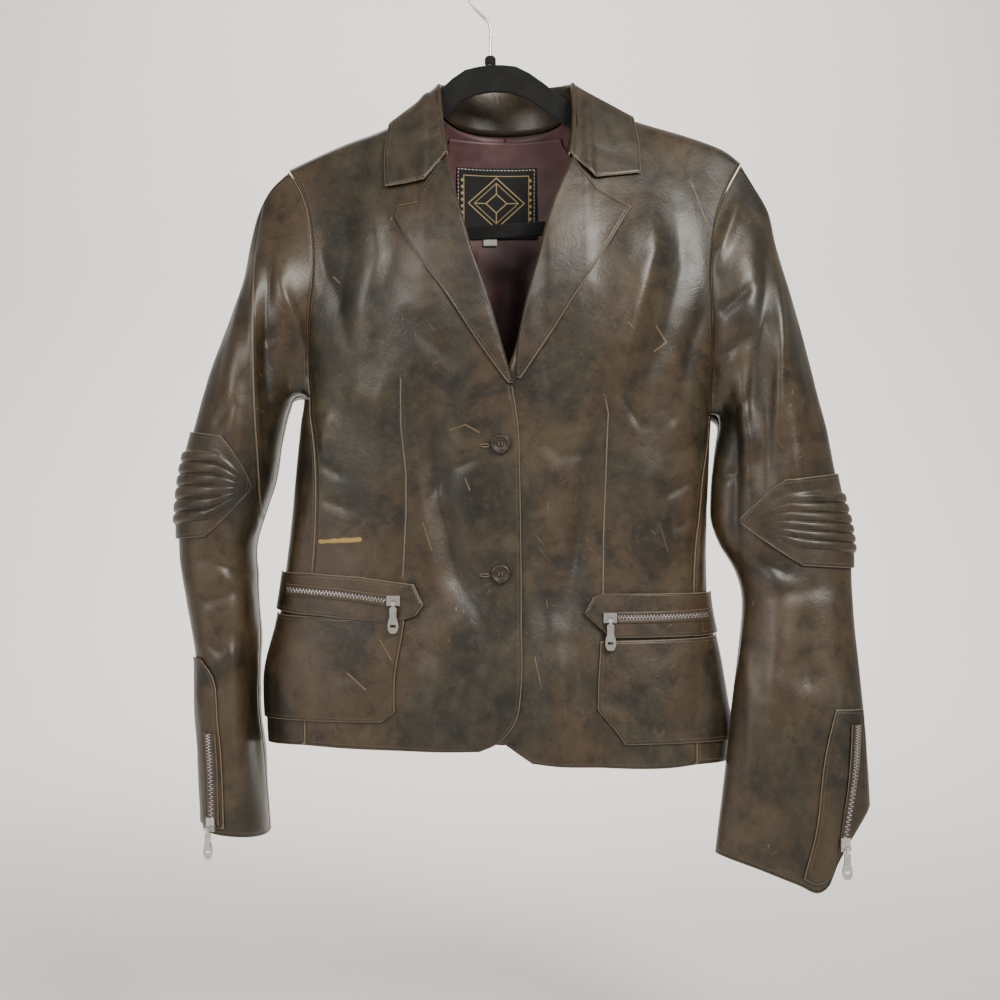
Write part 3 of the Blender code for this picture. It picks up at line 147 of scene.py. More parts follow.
BACK_ARMHOLE = {
    "right": [(-152, -403), (-160, -372), (-163, -330), (-163, -280), (-169, -232), (-186, -196.8)],
    "left": [(182, -417), (194, -385), (200, -335), (202, -285), (210, -236), (231.5, -190.6)],
}
CENTRE_BACK = 14.0
BACK_HEM = -735.0
BACK_NECK = [(14, -154), (-15, -153), (-36, -148), (-48, -139), (-56, -126.5)]

# Collar stations from each front end to the centre of the back: the neck seam, the roll line, and the
# outer edge as x and the drop from the shoulder, which is negative in front
COLLAR_SEAM_RIGHT = [(-36.5, -31, -186), (-42.5, -24, -164), (-48.5, -12, -142.5), (-54.5, -6, -130.5),
                     (-56.2, 0, -122.8), (-53.5, 4.5, -126.5), (-51, 10, -131), (-46, 17, -137),
                     (-35.5, 29, -145.4), (-15, 42.6, -150.6), (14, 48.4, -151.6)]
COLLAR_ROLL_RIGHT = [(-39.8, -43, -186.4), (-43, -31, -166), (-46, -18, -140), (-47.5, -8, -122),
                     (-48, 0, -115.5), (-48, 5, -113.5), (-47, 10, -113), (-44, 18, -111.5),
                     (-36, 30, -110), (-15, 43, -109), (14, 49, -109)]
COLLAR_EDGE_RIGHT = [(-95, -62), (-96.5, -32), (-94.5, -9), (-93.5, -2.2), (-92.5, 0), (-91.5, 2.2),
                     (-89.5, 9), (-78, 24), (-54, 42), (-22, 82), (14, 110)]
COLLAR_SEAM_LEFT = [(69.5, -31, -187), (73.5, -24, -164), (77.5, -12, -143), (81, -5.5, -131.5),
                    (82.5, 0, -124.5), (81.5, 4.5, -127), (79, 10, -131.5), (74, 17, -137.5),
                    (64, 29, -145.6), (43, 42.6, -150.6), (14, 48.4, -151.6)]
COLLAR_ROLL_LEFT = [(72.8, -43, -187), (76, -31, -165), (77, -18, -139.5), (76.8, -8, -121),
                    (76.5, 0, -114), (76.3, 5, -112.8), (75, 10, -112.3), (72, 18, -111.3),
                    (64, 30, -110), (43, 43, -109), (14, 49, -109)]
COLLAR_EDGE_LEFT = [(136.5, -54), (136, -26), (133.5, -9), (132.5, -2.2), (131.5, 0), (130, 2.2),
                    (127, 9), (113, 24), (86, 42), (50, 82), (14, 110)]
COLLAR_LIFT = 3.6
ROLL_RADIUS, ROLL_RISE = 1.6, 1.8
GORGE_DIP = 17.0
GORGE_PART = 0.34
SECTION_DROPS = [0.0, 0.4, 1.0, 2.0, 3.2, 4.6, 6.0, 9.0, 13.0, 19.0, 27.0, 38.0, 52.0, 70.0, 92.0, 120.0]

# Lapels, from the break of the roll up; the roll turns back into the neck by its thickness
LAPEL_LIFT = 1.25
LAPEL_BELLY = 0.9
ROLL_THICK = 4.4
ROLL_REACH = 1.1
LAPEL_ROLL = {
    "right": [(18.6, -396), (9.3, -361.6), (-2.3, -320.7), (-18.3, -274), (-28.3, -238.6), (-44.6, -195)],
    "left": [(24.6, -391), (25.5, -368), (33.2, -324.3), (44.8, -281.3), (55.7, -238.7), (74.5, -191.5)],
}
LAPEL_EDGE = {
    "right": [(16.4, -396), (-6.1, -365.3), (-39.8, -315.5), (-71.3, -271.5), (-84.4, -246.7)],
    "left": [(26.8, -392), (48.9, -360), (75.5, -318.2), (98, -284.7), (125.9, -238.4)],
}
LAPEL_TOP = {
    "right": [(-44.6, -195), (-61, -222), (-63, -233.3), (-82, -236.4), (-84.4, -246.7)],
    "left": [(74.5, -191.5), (94.6, -220), (108, -228), (118, -234), (125.9, -238.4)],
}

# Sleeve stations from the shoulder to the cuff: outer x and z, inner x and z, half depth, centre y
SLEEVE = {
    "right": [(-188.6, -197, -173, -402, 34, 0), (-205, -213.5, -176.5, -401, 38, 0),
              (-215, -234, -179.5, -402, 43, 0), (-221.5, -260, -182, -404, 47, 0),
              (-228, -298, -184, -407.5, 51, -1), (-236.5, -326, -185.5, -412, 54, -2),
              (-253, -371, -188.5, -422, 57, -3), (-265.4, -413.8, -191, -433, 58, -4),
              (-272.8, -441.6, -194, -451, 57, -5), (-281, -477, -198.6, -482, 55, -6),
              (-285, -518.5, -207.9, -512, 54, -7), (-284, -545, -216, -541, 52, -8),
              (-281, -570, -215.3, -573, 51, -9), (-272.8, -616, -212.5, -621, 49, -10),
              (-268.5, -645, -213.5, -648, 48, -10), (-268.2, -685, -214, -688, 47, -10),
              (-265.4, -733, -209, -735, 46, -10), (-262.6, -797.6, -203.5, -804, 45, -10)],
    "left": [(234.3, -191.4, 206.8, -417.5, 32, 0), (245, -210, 209.5, -418, 38, -1),
             (257.8, -234.7, 211, -420.5, 42, -3), (264.2, -266.8, 212, -424.5, 43, -5),
             (277, -312.7, 212, -430, 43, -7), (290, -363, 210.5, -438, 41, -9),
             (298.2, -397, 208.5, -448, 39, -11), (308.3, -437.6, 206, -465, 37, -13),
             (314.7, -470.6, 204, -484, 36, -14), (320, -497, 203, -502, 35, -15),
             (326.5, -524, 203.4, -520, 34, -17), (329.3, -548, 211, -541, 33, -19),
             (329, -571.7, 225, -565.7, 31, -22), (329.5, -600.2, 230.3, -595.2, 30, -27),
             (332.8, -645.3, 224.9, -645.3, 28, -33), (336.3, -685.2, 219.7, -681.2, 27, -38),
             (339.1, -729.9, 213.7, -733.8, 25, -42), (341.1, -773.5, 203.4, -816.7, 22, -45)],
}
SLEEVE_POWER = 2.3
HEAD_STATIONS = 5.0
SEAM_ANGLE = 0.012
CUFF_DROP_LEFT = [(0, 0), (0.25, 22), (0.51, 47), (0.65, 60), (0.7, 58), (0.776, 38), (1, 0)]
CUFF_DROP_BACK = 0.3
BACK_FOLD_PART = -0.8
# A worn fold line down the front of the right sleeve
SLEEVE_LINE = [(-209, -226), (-212.5, -262), (-212.5, -320), (-210.5, -410), (-208.5, -480),
               (-209.5, -545)]

# Largest folds of the body, as (x0, z0, x1, z1, width, height): a ridge, or a trough below zero
FOLDS_FRONT = [(-112, -230, -126, -395, 24, 5.0), (-66, -310, -72, -410, 26, 3.5),
               (-58, -440, -26, -590, 24, -3.5), (-40, -600, -25, -700, 28, 3.0),
               (134, -240, 112, -385, 24, 5.0), (120, -410, 84, -560, 24, -3.5),
               (56, -600, 62, -720, 28, 3.0)]
FOLDS_BACK = [(-108, -230, -116, -420, 26, 5.0), (-60, -330, -70, -520, 28, 4.0),
              (-30, -430, -25, -600, 24, -3.5), (138, -240, 134, -420, 26, 5.0),
              (90, -330, 96, -520, 28, 4.0), (55, -430, 52, -600, 24, -3.5)]
# Largest folds of the sleeves, as (station, across) from and to, width in mm and height
FOLDS_SLEEVE = {
    "right": [(1.0, -0.55, 9.0, 0.35, 13, 4.0), (3.0, 0.25, 9.5, 0.8, 12, -5.0),
              (11.0, -0.2, 13.5, 0.4, 14, -3.0)],
    "left": [(1.5, -0.35, 9.0, -0.25, 14, 5.0), (1.0, -0.1, 8.5, 0.2, 14, -5.0),
             (3.5, 0.75, 7.0, 0.5, 14, 4.0), (11.5, 0.5, 15.0, 0.4, 18, 3.0)],
}

# Pockets, as the (x, z) of their inner, outer, lower and upper edges, from the bottom up or outwards
PATCH = {
    "right": ([(-97, -698), (-84.5, -689), (-76, -606)], [(-212, -697.5), (-212, -604)], [(-97, -698),
              (-125, -698.3), (-212, -697.5)], [(-76, -606), (-212, -604)]),
    "left": ([(120.4, -718.3), (95.6, -687), (98.3, -626)], [(226, -717.6), (226, -624)], [(120.4, -718.3),
             (226, -717.6)], [(98.3, -626), (226, -624)]),
}
BAND = {
    "right": ([(-85, -609.8), (-66, -603.5), (-59, -593.7), (-67.8, -575.5)], [(-212, -599.2),
              (-212, -566)], [(-85, -609.8), (-150, -604.5), (-212, -599.2)], [(-67.8, -575.5),
              (-115, -569), (-160, -566), (-212, -566)]),
    "left": ([(107.2, -623.2), (84, -601.3), (92.1, -586.7), (101.1, -584)], [(226, -621.5), (226, -584.2)],
             [(107.2, -623.2), (188.3, -623.2), (226, -621.5)], [(101.1, -584), (226, -584.2)]),
}
ZIP = {
    "right": [(-181, -581.5), (-135, -584.5), (-92, -590)],
    "left": [(113, -605.3), (155, -605), (194, -604.5)],
}
POCKET_ZIP_HALF = 3.2

# Elbow patches: station of the middle, half height in stations, angle of the apex from the inner edge,
# and how far across the patch the ribs start
ELBOW = {
    "right": (9.25, 1.35, 0.98, 0.05),
    "left": (9.9, 1.7, 0.95, 0.115),
}
ELBOW_TAPER = 0.17
PLEATS = 6
PLEAT_HEIGHT = 3.2
PLEAT_REACH = 0.62

# Cuffs: the placket's outline and the zip's line, as (station, across)
PLACKET = {
    "right": [(13.9, -0.6), (14.3, -0.22), (15.5, -0.07), (16.9, -0.12)],
    "left": [(15.05, -0.5), (15.9, -0.3), (16.5, -0.22), (16.93, -0.08)],
}
PLACKET_RIM = -0.93
CUFF_ZIP_HALF = 3.51
CUFF_ZIP = {
    "right": [(15.5, -0.36), (16.2, -0.38), (16.85, -0.42)],
    "left": [(15.35, -0.8), (16.1, -0.74), (16.6, -0.66), (16.88, -0.6)],
}

# Buttons, label, size tab and lining
BUTTON_SPOTS = [(9.4, -450.2), (9.6, -566.0)]
BUTTON_TURNS = 72
BUTTON_CURVE = [(0.05, 3.0), (2.5, 3.02), (4.9, 3.12), (5.5, 3.35), (6.0, 4.0), (6.5, 4.3), (7.2, 4.4),
                (7.9, 4.2), (8.45, 3.75), (8.75, 3.1), (8.78, 2.4), (8.5, 1.5), (7.6, 0.9), (5.0, 0.5),
                (0.05, 0.45)]
BUTTONHOLE = (-8.6, 0.4)
THREAD_SPOTS, THREAD_RADIUS = (-1.5, 1.5), 0.55
LINING_TOP, LINING_SHOULDER, LINING_BOTTOM = -158.0, -215.0, -430.0
LINING_HALF, LINING_NARROWING = 100.0, 46.0
LINING_IN = -3.4
LINING_THICK, TAB_THICK = 0.8, 0.6
LINING_PLEAT_TOP = -255.0
LABEL = (-34.0, 45.0, -250.0, -182.0)
SIZE_TAB = (-7.0, 6.0, -257.0, -250.8)

# Zips: how far they lie on the band, and the parts of their half width that the teeth and the lips take
ZIP_LAP = 0.25
TEETH_PART, LIP_NEAR, LIP_FAR = 0.62, 0.72, 1.5
TAPE_THICK, LIP_THICK, LIP_RISE = 0.5, 0.6, 0.9
TEETH_RISE = 0.75

# The hook's wire, its stem as (x, z) points, and its bow with the angles where it starts and ends
HOOK_WIRE = 1.4
HOOK_STEM = [(0, -96.6), (0, -85), (0, -75), (0, -62), (-2.5, -56.5), (-9, -50), (-15, -43.5)]
HOOK_RADIUS, HOOK_BOW = 23.7, (216, -28)

# The stage, in metres, and its lamps: name, place, target, size and power
STAGE_FLOOR, STAGE_WALL, STAGE_SWEEP = -1.05, 3.2, 1.2
CAMERA_PLACE = (0.009, -1.545, -0.5)
DAYLIGHT = (1.0, 0.965, 0.90)
LAMP_SPREAD = 110
SKY_STRENGTH = 0.45
LAMPS = (("Key", (1.05, -1.75, 0.75), (0.02, 0.0, -0.42), 0.8, 21),
         ("Window", (-1.15, -1.9, 0.35), (0.0, 0.0, -0.45), 0.7, 7),
         ("Fill", (-1.7, -1.2, -0.9), (0.0, 0.0, -0.5), 1.8, 3),
         ("Back", (-0.4, 1.5, 0.9), (0.0, 0.0, -0.4), 1.2, 2),
         ("Wall", (0.0, 1.3, 1.9), (0.0, STAGE_WALL, -0.6), 3.0, 76))

# Creases, as (x, z) points, width and height: a ridge, or a trough below zero
CREASE_DEPTH = 1.7
LAID_PART = 0.7
CREASES_FRONT = {
    "right": [
        ([(-113, -201), (-106, -239), (-100, -282), (-112, -324)], 14, 2.4),
        ([(-132, -221), (-126, -280), (-140, -347)], 13, -1.6),
        ([(-130, -403), (-88, -414)], 20, 2.4),
        ([(-64, -392), (-50, -437), (-49, -474), (-44, -504), (-35, -541), (-28, -568), (-13, -590),
          (0, -626)], 11, -2.4),
        ([(-79, -410), (-65, -473), (-55, -536), (-43, -590)], 11, 1.4),
        ([(-157, -466), (-130, -480)], 5, -1.1),
        ([(-156, -498), (-124, -509)], 5, -1.0),
        ([(-2, -457), (-32, -471), (-56, -500)], 7, -1.3),
        ([(-160, -270), (-137, -320), (-124, -376)], 9, -1.5),
        ([(-81, -320), (-58, -356), (-18, -385)], 8, -1.0),
        ([(-144, -626), (-130, -671)], 12, -0.9),
        ([(-45, -635), (-52, -712)], 14, 1.4),
        ([(-18, -626), (-22, -716)], 10, -1.2),
        ([(-144, -419), (-151, -455)], 7, 1.2),
    ],
    "left": [
        ([(145, -232), (145, -279), (130, -330), (119, -373), (112, -392)], 11, 2.6),
        ([(167, -230), (173, -291), (155, -356), (135, -410)], 12, -1.7),
        ([(113, -397), (135, -435)], 3.5, -1.4),
        ([(102, -407), (90, -456), (82, -526), (75, -568), (61, -601)], 10, -2.0),
        ([(135, -446), (146, -518), (148, -574)], 15, 1.6),
        ([(184, -482), (153, -498)], 5, -1.1),
        ([(185, -518), (157, -527)], 5, -1.0),
        ([(199, -320), (182, -358), (173, -403)], 8, -1.5),
        ([(63, -626), (59, -720)], 15, 1.5),
        ([(90, -554), (76, -626), (86, -716)], 10, -1.1),
        ([(36, -437), (63, -460), (99, -457)], 8, -1.0),
        ([(144, -635), (155, -712)], 14, 1.0),
        ([(189, -626), (184, -716)], 9, -1.0),
        ([(160, -428), (180, -455)], 7, 1.1),
    ],
}
CREASES_SLEEVE = {
    "right": [
        ([(-203, -247), (-209, -282), (-213, -334), (-212, -385), (-209, -447), (-209, -477)], 4.5, 2.2),
        ([(-197, -257), (-200, -320), (-200, -383), (-196, -437)], 7, -2.6),
        ([(-190, -303), (-176, -338), (-166, -379)], 6, 2.2),
        ([(-168, -392), (-182, -428)], 7, -2.4),
        ([(-212, -514), (-210, -536), (-205, -572)], 5, 1.6),
        ([(-263, -594), (-223, -581)], 5, -1.3),
        ([(-250, -554), (-214, -569)], 5, -1.5),
        ([(-229, -590), (-232, -680), (-225, -774)], 9, 1.8),
        ([(-216, -608), (-214, -689), (-209, -770)], 6, -1.6),
        ([(-254, -626), (-238, -640)], 4, -1.0),
        ([(-238, -275), (-241, -347), (-248, -410)], 10, -1.4),
        ([(-225, -320), (-232, -392), (-229, -437)], 8, 1.5),
        ([(-256, -671), (-236, -664)], 5, -1.0),
        ([(-248, -437), (-225, -410)], 5, -1.2),
        ([(-184, -347), (-205, -360)], 4, -1.2),
    ],
    "left": [
        ([(230, -219), (212, -265), (202, -291)], 6, 2.0),
        ([(232, -221), (251, -259), (249, -310), (238, -383), (229, -486)], 9, -2.2),
        ([(259, -280), (261, -356), (259, -424), (255, -494)], 4.5, 2.4),
        ([(202, -335), (240, -304)], 4.5, -1.8),
        ([(203, -376), (236, -349)], 5, -1.4),
        ([(201, -432), (231, -410)], 5, -1.6),
        ([(203, -482), (230, -471)], 5, -1.3),
        ([(240, -590), (308, -576)], 8, -0.6),
        ([(254, -626), (248, -716), (252, -815)], 11, 2.0),
        ([(281, -590), (284, -680)], 9, -1.5),
        ([(227, -608), (234, -680), (230, -770)], 7, 1.4),
        ([(275, -320), (290, -392), (299, -437)], 9, -1.3),
        ([(270, -680), (268, -824)], 8, -1.4),
        ([(279, -437), (306, -450)], 5, -1.0),
        ([(241, -554), (270, -568)], 5, -1.2),
        ([(226, -395), (232, -446), (233, -500)], 6, 2.0),
        ([(217, -400), (221, -455), (221, -520), (224, -560)], 7, -2.6),
    ],
}
CREASES_BACK = [
    ([(-120, -230), (-105, -330), (-118, -430)], 14, 2.0),
    ([(-40, -300), (-30, -420), (-45, -560)], 12, -1.6),
    ([(145, -230), (130, -330), (140, -430)], 14, 2.0),
    ([(70, -300), (60, -420), (72, -560)], 12, -1.6),
    ([(-140, -480), (-95, -500)], 6, -1.2),
    ([(165, -480), (120, -500)], 6, -1.2),
    ([(-90, -610), (-95, -715)], 14, 1.4),
    ([(110, -610), (118, -720)], 14, 1.4),
]
CREASES_SIDE = [([(-180, -600), (-172, -500)], 10, 1.0), ([(185, -600), (192, -500)], 10, 1.0)]
DART = {
    "right": [(-79.2, -393), (-79.3, -434), (-75, -476), (-75, -512), (-77.8, -568)],
    "left": [(103.4, -411), (105.8, -422.5), (103.7, -482), (102, -526), (101.2, -584)],
}
FAR = 60.0


def smooth(keys):
    """A curve y(x) through the keys that never overshoots them."""
    keys = sorted(keys)
    x = np.array([key[0] for key in keys], float)
    y = np.array([key[1] for key in keys], float)
    step = np.diff(x)
    rise = np.diff(y) / step
    slope = np.zeros(len(x))
    slope[0], slope[-1] = rise[0], rise[-1]
    for i in range(1, len(x) - 1):
        if rise[i - 1] * rise[i] > 0:
            near, far = 2 * step[i] + step[i - 1], step[i] + 2 * step[i - 1]
            slope[i] = (near + far) / (near / rise[i - 1] + far / rise[i])

    def value(at):
        at = np.clip(at, x[0], x[-1])
        i = np.clip(np.searchsorted(x, at) - 1, 0, len(step) - 1)
        w = (at - x[i]) / step[i]
        lean = step[i] * w * (1 - w) * ((1 - w) * slope[i] - w * slope[i + 1])
        return (1 + 2 * w) * (1 - w) ** 2 * y[i] + w * w * (3 - 2 * w) * y[i + 1] + lean

    return value


def path(points, straight=False):
    """A curve through the points, as a function of 0 to 1 along its length."""
    spots = np.array(points, float)
    steps = np.linalg.norm(np.diff(spots, axis=0), axis=1)
    knots = np.concatenate([[0.0], np.cumsum(steps)]) / steps.sum()
    slopes = np.gradient(spots, knots, axis=0)

    def spot(t):
        t = np.clip(t, 0.0, 1.0)
        i = np.clip(np.searchsorted(knots, t, side="right") - 1, 0, len(knots) - 2)
        h = (knots[i + 1] - knots[i])[..., None]
        w = (t - knots[i])[..., None] / h
        if straight:
            return spots[i] * (1 - w) + spots[i + 1] * w
        lean = h * w * (1 - w) * ((1 - w) * slopes[i] - w * slopes[i + 1])
        return (1 + 2 * w) * (1 - w) ** 2 * spots[i] + w * w * (3 - 2 * w) * spots[i + 1] + lean

    return spot


def stations(rows):
    """Rows of numbers, read smoothly at any place between two of them."""
    table = np.array(rows, float)
    slopes = np.gradient(table, axis=0)

    def row(t):
        t = np.clip(np.asarray(t, float), 0.0, len(table) - 1.0)
        i = np.minimum(t.astype(int), len(table) - 2)
        w = (t - i)[..., None]
        lean = w * (1 - w) * ((1 - w) * slopes[i] - w * slopes[i + 1])
        return (1 + 2 * w) * (1 - w) ** 2 * table[i] + w * w * (3 - 2 * w) * table[i + 1] + lean

    return row


def ramp(t):
    """A soft step from 0 to 1."""
    t = np.clip(t, 0.0, 1.0)
    return t * t * (3 - 2 * t)


def power(value, exponent):
    """The sign of a value with its size raised to an exponent."""
    return np.sign(value) * np.abs(value) ** exponent


def joined(*parts):
    """Coordinates side by side as points."""
    return np.stack(np.broadcast_arrays(*parts), axis=-1).astype(float)


def bump(x, z, fold):
    """How much a fold lifts the cloth at (x, z)."""
    x0, z0, x1, z1, width, height = fold
    dx, dz = x1 - x0, z1 - z0
    along = ((x - x0) * dx + (z - z0) * dz) / (dx * dx + dz * dz)
    aside = np.hypot(x - x0 - along * dx, z - z0 - along * dz)
    ends = ramp((along + 0.15) / 0.35) * ramp((1.15 - along) / 0.35)
    return height * ends * np.exp(-((aside / width) ** 2))


def to_line(x, z, points):
    """The signed distance from (x, z) to a run of points, and how far along it the nearest place lies."""
    spots = np.array(points, float)
    steps = np.diff(spots, axis=0)
    lengths = np.linalg.norm(steps, axis=1)
    total, done = lengths.sum(), 0.0
    best = np.full(np.shape(x), np.inf)
    along, side = np.zeros(np.shape(x)), np.ones(np.shape(x))
    for start, step, length in zip(spots, steps, lengths):
        dx, dz = x - start[0], z - start[1]
        part = np.clip((dx * step[0] + dz * step[1]) / length**2, 0, 1)
        away = np.hypot(dx - part * step[0], dz - part * step[1])
        nearer = away < best
        best = np.where(nearer, away, best)
        along = np.where(nearer, (done + part * length) / total, along)
        side = np.where(nearer, np.sign(step[0] * dz - step[1] * dx), side)
        done += length
    return best * np.where(side == 0, 1, side), along


def creased(x, z, creases):
    """The height of all creases at (x, z)."""
    height = np.zeros(np.shape(x))
    for points, width, lift in creases:
        aside, along = to_line(x, z, points)
        ends = 0.25 + 0.75 * ramp(along / 0.3) * ramp((1 - along) / 0.3)
        height += CREASE_DEPTH * lift * ends * np.exp(-np.abs(aside / width) ** 1.6)
    return height


def ripple(x, z, size, seed):
    """A gentle unevenness with waves of about this size, from -1 to 1."""
    chance = np.random.RandomState(seed)
    height = np.zeros(np.shape(x))
    for _ in range(9):
        turn, shift = chance.uniform(0, 2 * math.pi, 2)
        wave = size * chance.uniform(0.7, 1.6)
        height += np.sin(2 * math.pi * (x * math.cos(turn) + z * math.sin(turn)) / wave + shift)
    return height / 5


body_right, body_left = smooth(BODY_RIGHT), smooth(BODY_LEFT)
front_depth, back_depth = smooth(FRONT_DEPTH), smooth(BACK_DEPTH)
shoulder = smooth(SHOULDER)


def ridge(x, front):
    """The height that the cloth falls from: the shoulder, or a rise over the open neck."""
    open_neck = (x > NECK_RIGHT) & (x < NECK_LEFT)
    part = np.where(open_neck, np.sin(math.pi * (x - NECK_RIGHT) / (NECK_LEFT - NECK_RIGHT)), 0)
    return shoulder(x) + np.where(front, NECK_RISE_FRONT, NECK_RISE_BACK) * np.maximum(part, 0) ** 1.3


def body_middle(angle, z):
    """The middle of the body's wall. The angle is 0 in front, -90 degrees at the right side."""
    low, high = body_right(z), body_left(z)
    side, face = np.sin(angle), np.cos(angle)
    x = (low + high) / 2 + (high - low) / 2 * power(side, 2 / SECTION_POWER)
    front = face >= 0
    drop = np.maximum(ridge(x, front) - z, 0.0)
    round_over = np.sqrt(1 - (1 - np.minimum(drop / RIDGE_DROP, 1)) ** 2)
    skin = RIDGE_GAP + (RIDGE_HALF - RIDGE_GAP) * round_over
    swell = 1 - (1 - np.minimum(drop / SWELL_DROP, 1)) ** 2
    depth = np.where(front, front_depth(z), back_depth(z))
    edge = np.minimum(1, np.abs(face) / 0.3)
    y = skin * edge + depth * np.abs(face) ** (2 / SECTION_POWER) * swell
    folds_front = sum(bump(x, z, fold) for fold in FOLDS_FRONT)
    folds_back = sum(bump(x, z, fold) for fold in FOLDS_BACK)
    y += np.where(front, folds_front, folds_back) * edge * ramp(drop / 60)
    return joined(x, np.where(front, -y, y), z)


def body_normal(angle, z):
    """The body's outward direction."""
    spot = body_middle(angle, z)
    front = np.cos(angle) >= 0
    step, height = 0.01, ridge(spot[..., 0], front)
    ends = []
    for turn in (angle + step, angle - step):
        rise = ridge(body_middle(turn, z)[..., 0], front) - height
        ends.append(body_middle(turn, z + rise))
    normal = np.cross(ends[0] - ends[1], spot - body_middle(angle, z - 1))
    return normal / np.linalg.norm(normal, axis=-1)[..., None]


def body(angle, z, out=0.0):
    """A point on the body, moved out along its normal."""
    return body_middle(angle, z) + np.asarray(out)[..., None] * body_normal(angle, z)


def angle_at(x, z, front=True):
    """The body's angle at a place seen from the front, or seen through to the back."""
    low, high = body_right(z), body_left(z)
    across = np.clip((x - (low + high) / 2) / ((high - low) / 2), -1, 1)
    angle = np.arcsin(power(across, SECTION_POWER / 2))
    return angle if front else np.where(angle >= 0, math.pi - angle, -math.pi - angle)


def on_body(curve, front=True, shift=0.0):
    """A curve of (x, z) as a curve of (angle, z)."""

    def spot(t):
        x, z = np.moveaxis(curve(t), -1, 0)
        return joined(angle_at(x + shift, z, front), z)

    return spot


def two_part(lower, upper):
    """One curve from two, which meet at ROW_SPLIT."""

    def spot(t):
        first, second = lower(t / ROW_SPLIT), upper((t - ROW_SPLIT) / (1 - ROW_SPLIT))
        return np.where((t <= ROW_SPLIT)[..., None], first, second)

    return spot


def coons(start, end, bottom, top):
    """The patch between four curves: start and end run up, bottom and top run across."""
    zero, one = np.zeros(1), np.ones(1)

    def spot(s, v):
        a, b = s[..., None], v[..., None]
        across = (1 - a) * start(v) + a * end(v)
        upward = (1 - b) * bottom(s) + b * top(s)
        corners = (1 - b) * ((1 - a) * start(zero) + a * end(zero))
        corners = corners + b * ((1 - a) * start(one) + a * end(one))
        return across + upward - corners

    return spot


def grid_of(across, up):
    """Two grids of values, one column for each value across and one row for each value up."""
    return np.meshgrid(np.asarray(across, float), np.asarray(up, float), indexing="ij")


def even(count, start=0.0, end=1.0):
    return np.linspace(start, end, count + 1)


def cells_of(kind):
    """The two grids of 0 to 1 that a kind of cloth is built on."""
    columns, rows = GRIDS[kind]
    return grid_of(even(columns), even(rows))


def uneven(kind, x, z):
    """The unevenness of a kind of cloth at (x, z)."""
    return sum(height * ripple(x, stretch * z, size, seed) for height, stretch, size, seed in UNEVEN[kind])


class Cloth:
    """A grid of points of one cut piece, with what its finish reads at each of them."""

    def __init__(self, points, rims="lrbt"):
        self.points = points
        self.marks = {}
        across = np.linalg.norm(np.diff(points, axis=0), axis=-1)
        up = np.linalg.norm(np.diff(points, axis=1), axis=-1)
        zero_a, zero_u = np.zeros((1, points.shape[1])), np.zeros((points.shape[0], 1))
        from_left = np.concatenate([zero_a, np.cumsum(across, axis=0)])
        from_base = np.concatenate([zero_u, np.cumsum(up, axis=1)], axis=1)
        self.width, self.length = from_left[-1].max(), from_base[:, -1].max()
        cells_a, cells_u = (across[:, 1:] + across[:, :-1]) / 2, (up[1:] + up[:-1]) / 2
        self.area = (cells_a * cells_u).sum()
        edges = {"l": (from_left, from_base), "r": (from_left[-1] - from_left, from_base),
                 "b": (from_base, from_left), "t": (from_base[:, -1:] - from_base, from_left)}
        rim, run = np.full(from_left.shape, FAR), from_base.copy()
        for key in rims:
            away, along = edges[key]
            nearer = away < rim
            rim, run = np.where(nearer, away, rim), np.where(nearer, along, run)
        self.marks["rim"], self.marks["run"] = rim, run
        self.marks["lift"] = np.zeros(rim.shape)
        self.marks["dart"] = np.full(rim.shape, FAR)

    def make(self, name, looks, thickness=LEATHER, flip=False):
        """The piece as an object, with its wall. The looks are its face, its raw edge and its inner side."""
        columns, rows = self.points.shape[:2]
        index = np.arange(columns * rows).reshape(columns, rows)
        corners = [index[:-1, :-1], index[1:, :-1], index[1:, 1:], index[:-1, 1:]]
        faces = np.stack([c.ravel() for c in (corners[::-1] if flip else corners)], axis=1)
        mesh = bpy.data.meshes.new(name)
        mesh.from_pydata((self.points.reshape(-1, 3) * MM).tolist(), [], faces.tolist())
        for mark, values in self.marks.items():
            layer = mesh.attributes.new(mark, "FLOAT", "POINT")
            layer.data.foreach_set("value", values.ravel().astype(np.float32))
        for look in looks:
            mesh.materials.append(look)
        mesh.shade_smooth()
        made = add(name, mesh)
        wall = made.modifiers.new("Wall", "SOLIDIFY")
        wall.thickness = thickness * MM
        wall.offset = 0
        wall.use_even_offset = True
        wall.material_offset_rim = 1 if len(looks) > 1 else 0
        wall.material_offset = 2 if len(looks) > 2 else 0
        return made

    def dress(self, name, looks, node, slot, held, rests_on, thickness=LEATHER, flip=False):
        """Makes the piece in the place of a node, and works out the size that it was cut to."""
        made = self.make(name, looks, thickness, flip)
        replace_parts(made, node)
        self.declare(made, held, rests_on)

    def declare(self, made, held, rests_on=(), with_pieces=()):
        """Works out the size that the piece was cut to, and does nothing more with it."""
        width, length = self.width * MM * CUT_EASE, self.length * MM * CUT_EASE
        area = min(self.area * MM * MM, width * length)


def add(name, data):
    """A new object that rides on the jacket."""
    made = bpy.data.objects.new(name, data)
    bpy.context.scene.collection.objects.link(made)
    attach(made, JACKET)
    return made


def under_lap(x):
    """How far the left front lies behind the right one near the front edge."""
    return -(LEATHER + WRAP_GAP) * ramp((WRAP_X - x) / WRAP_SPREAD)


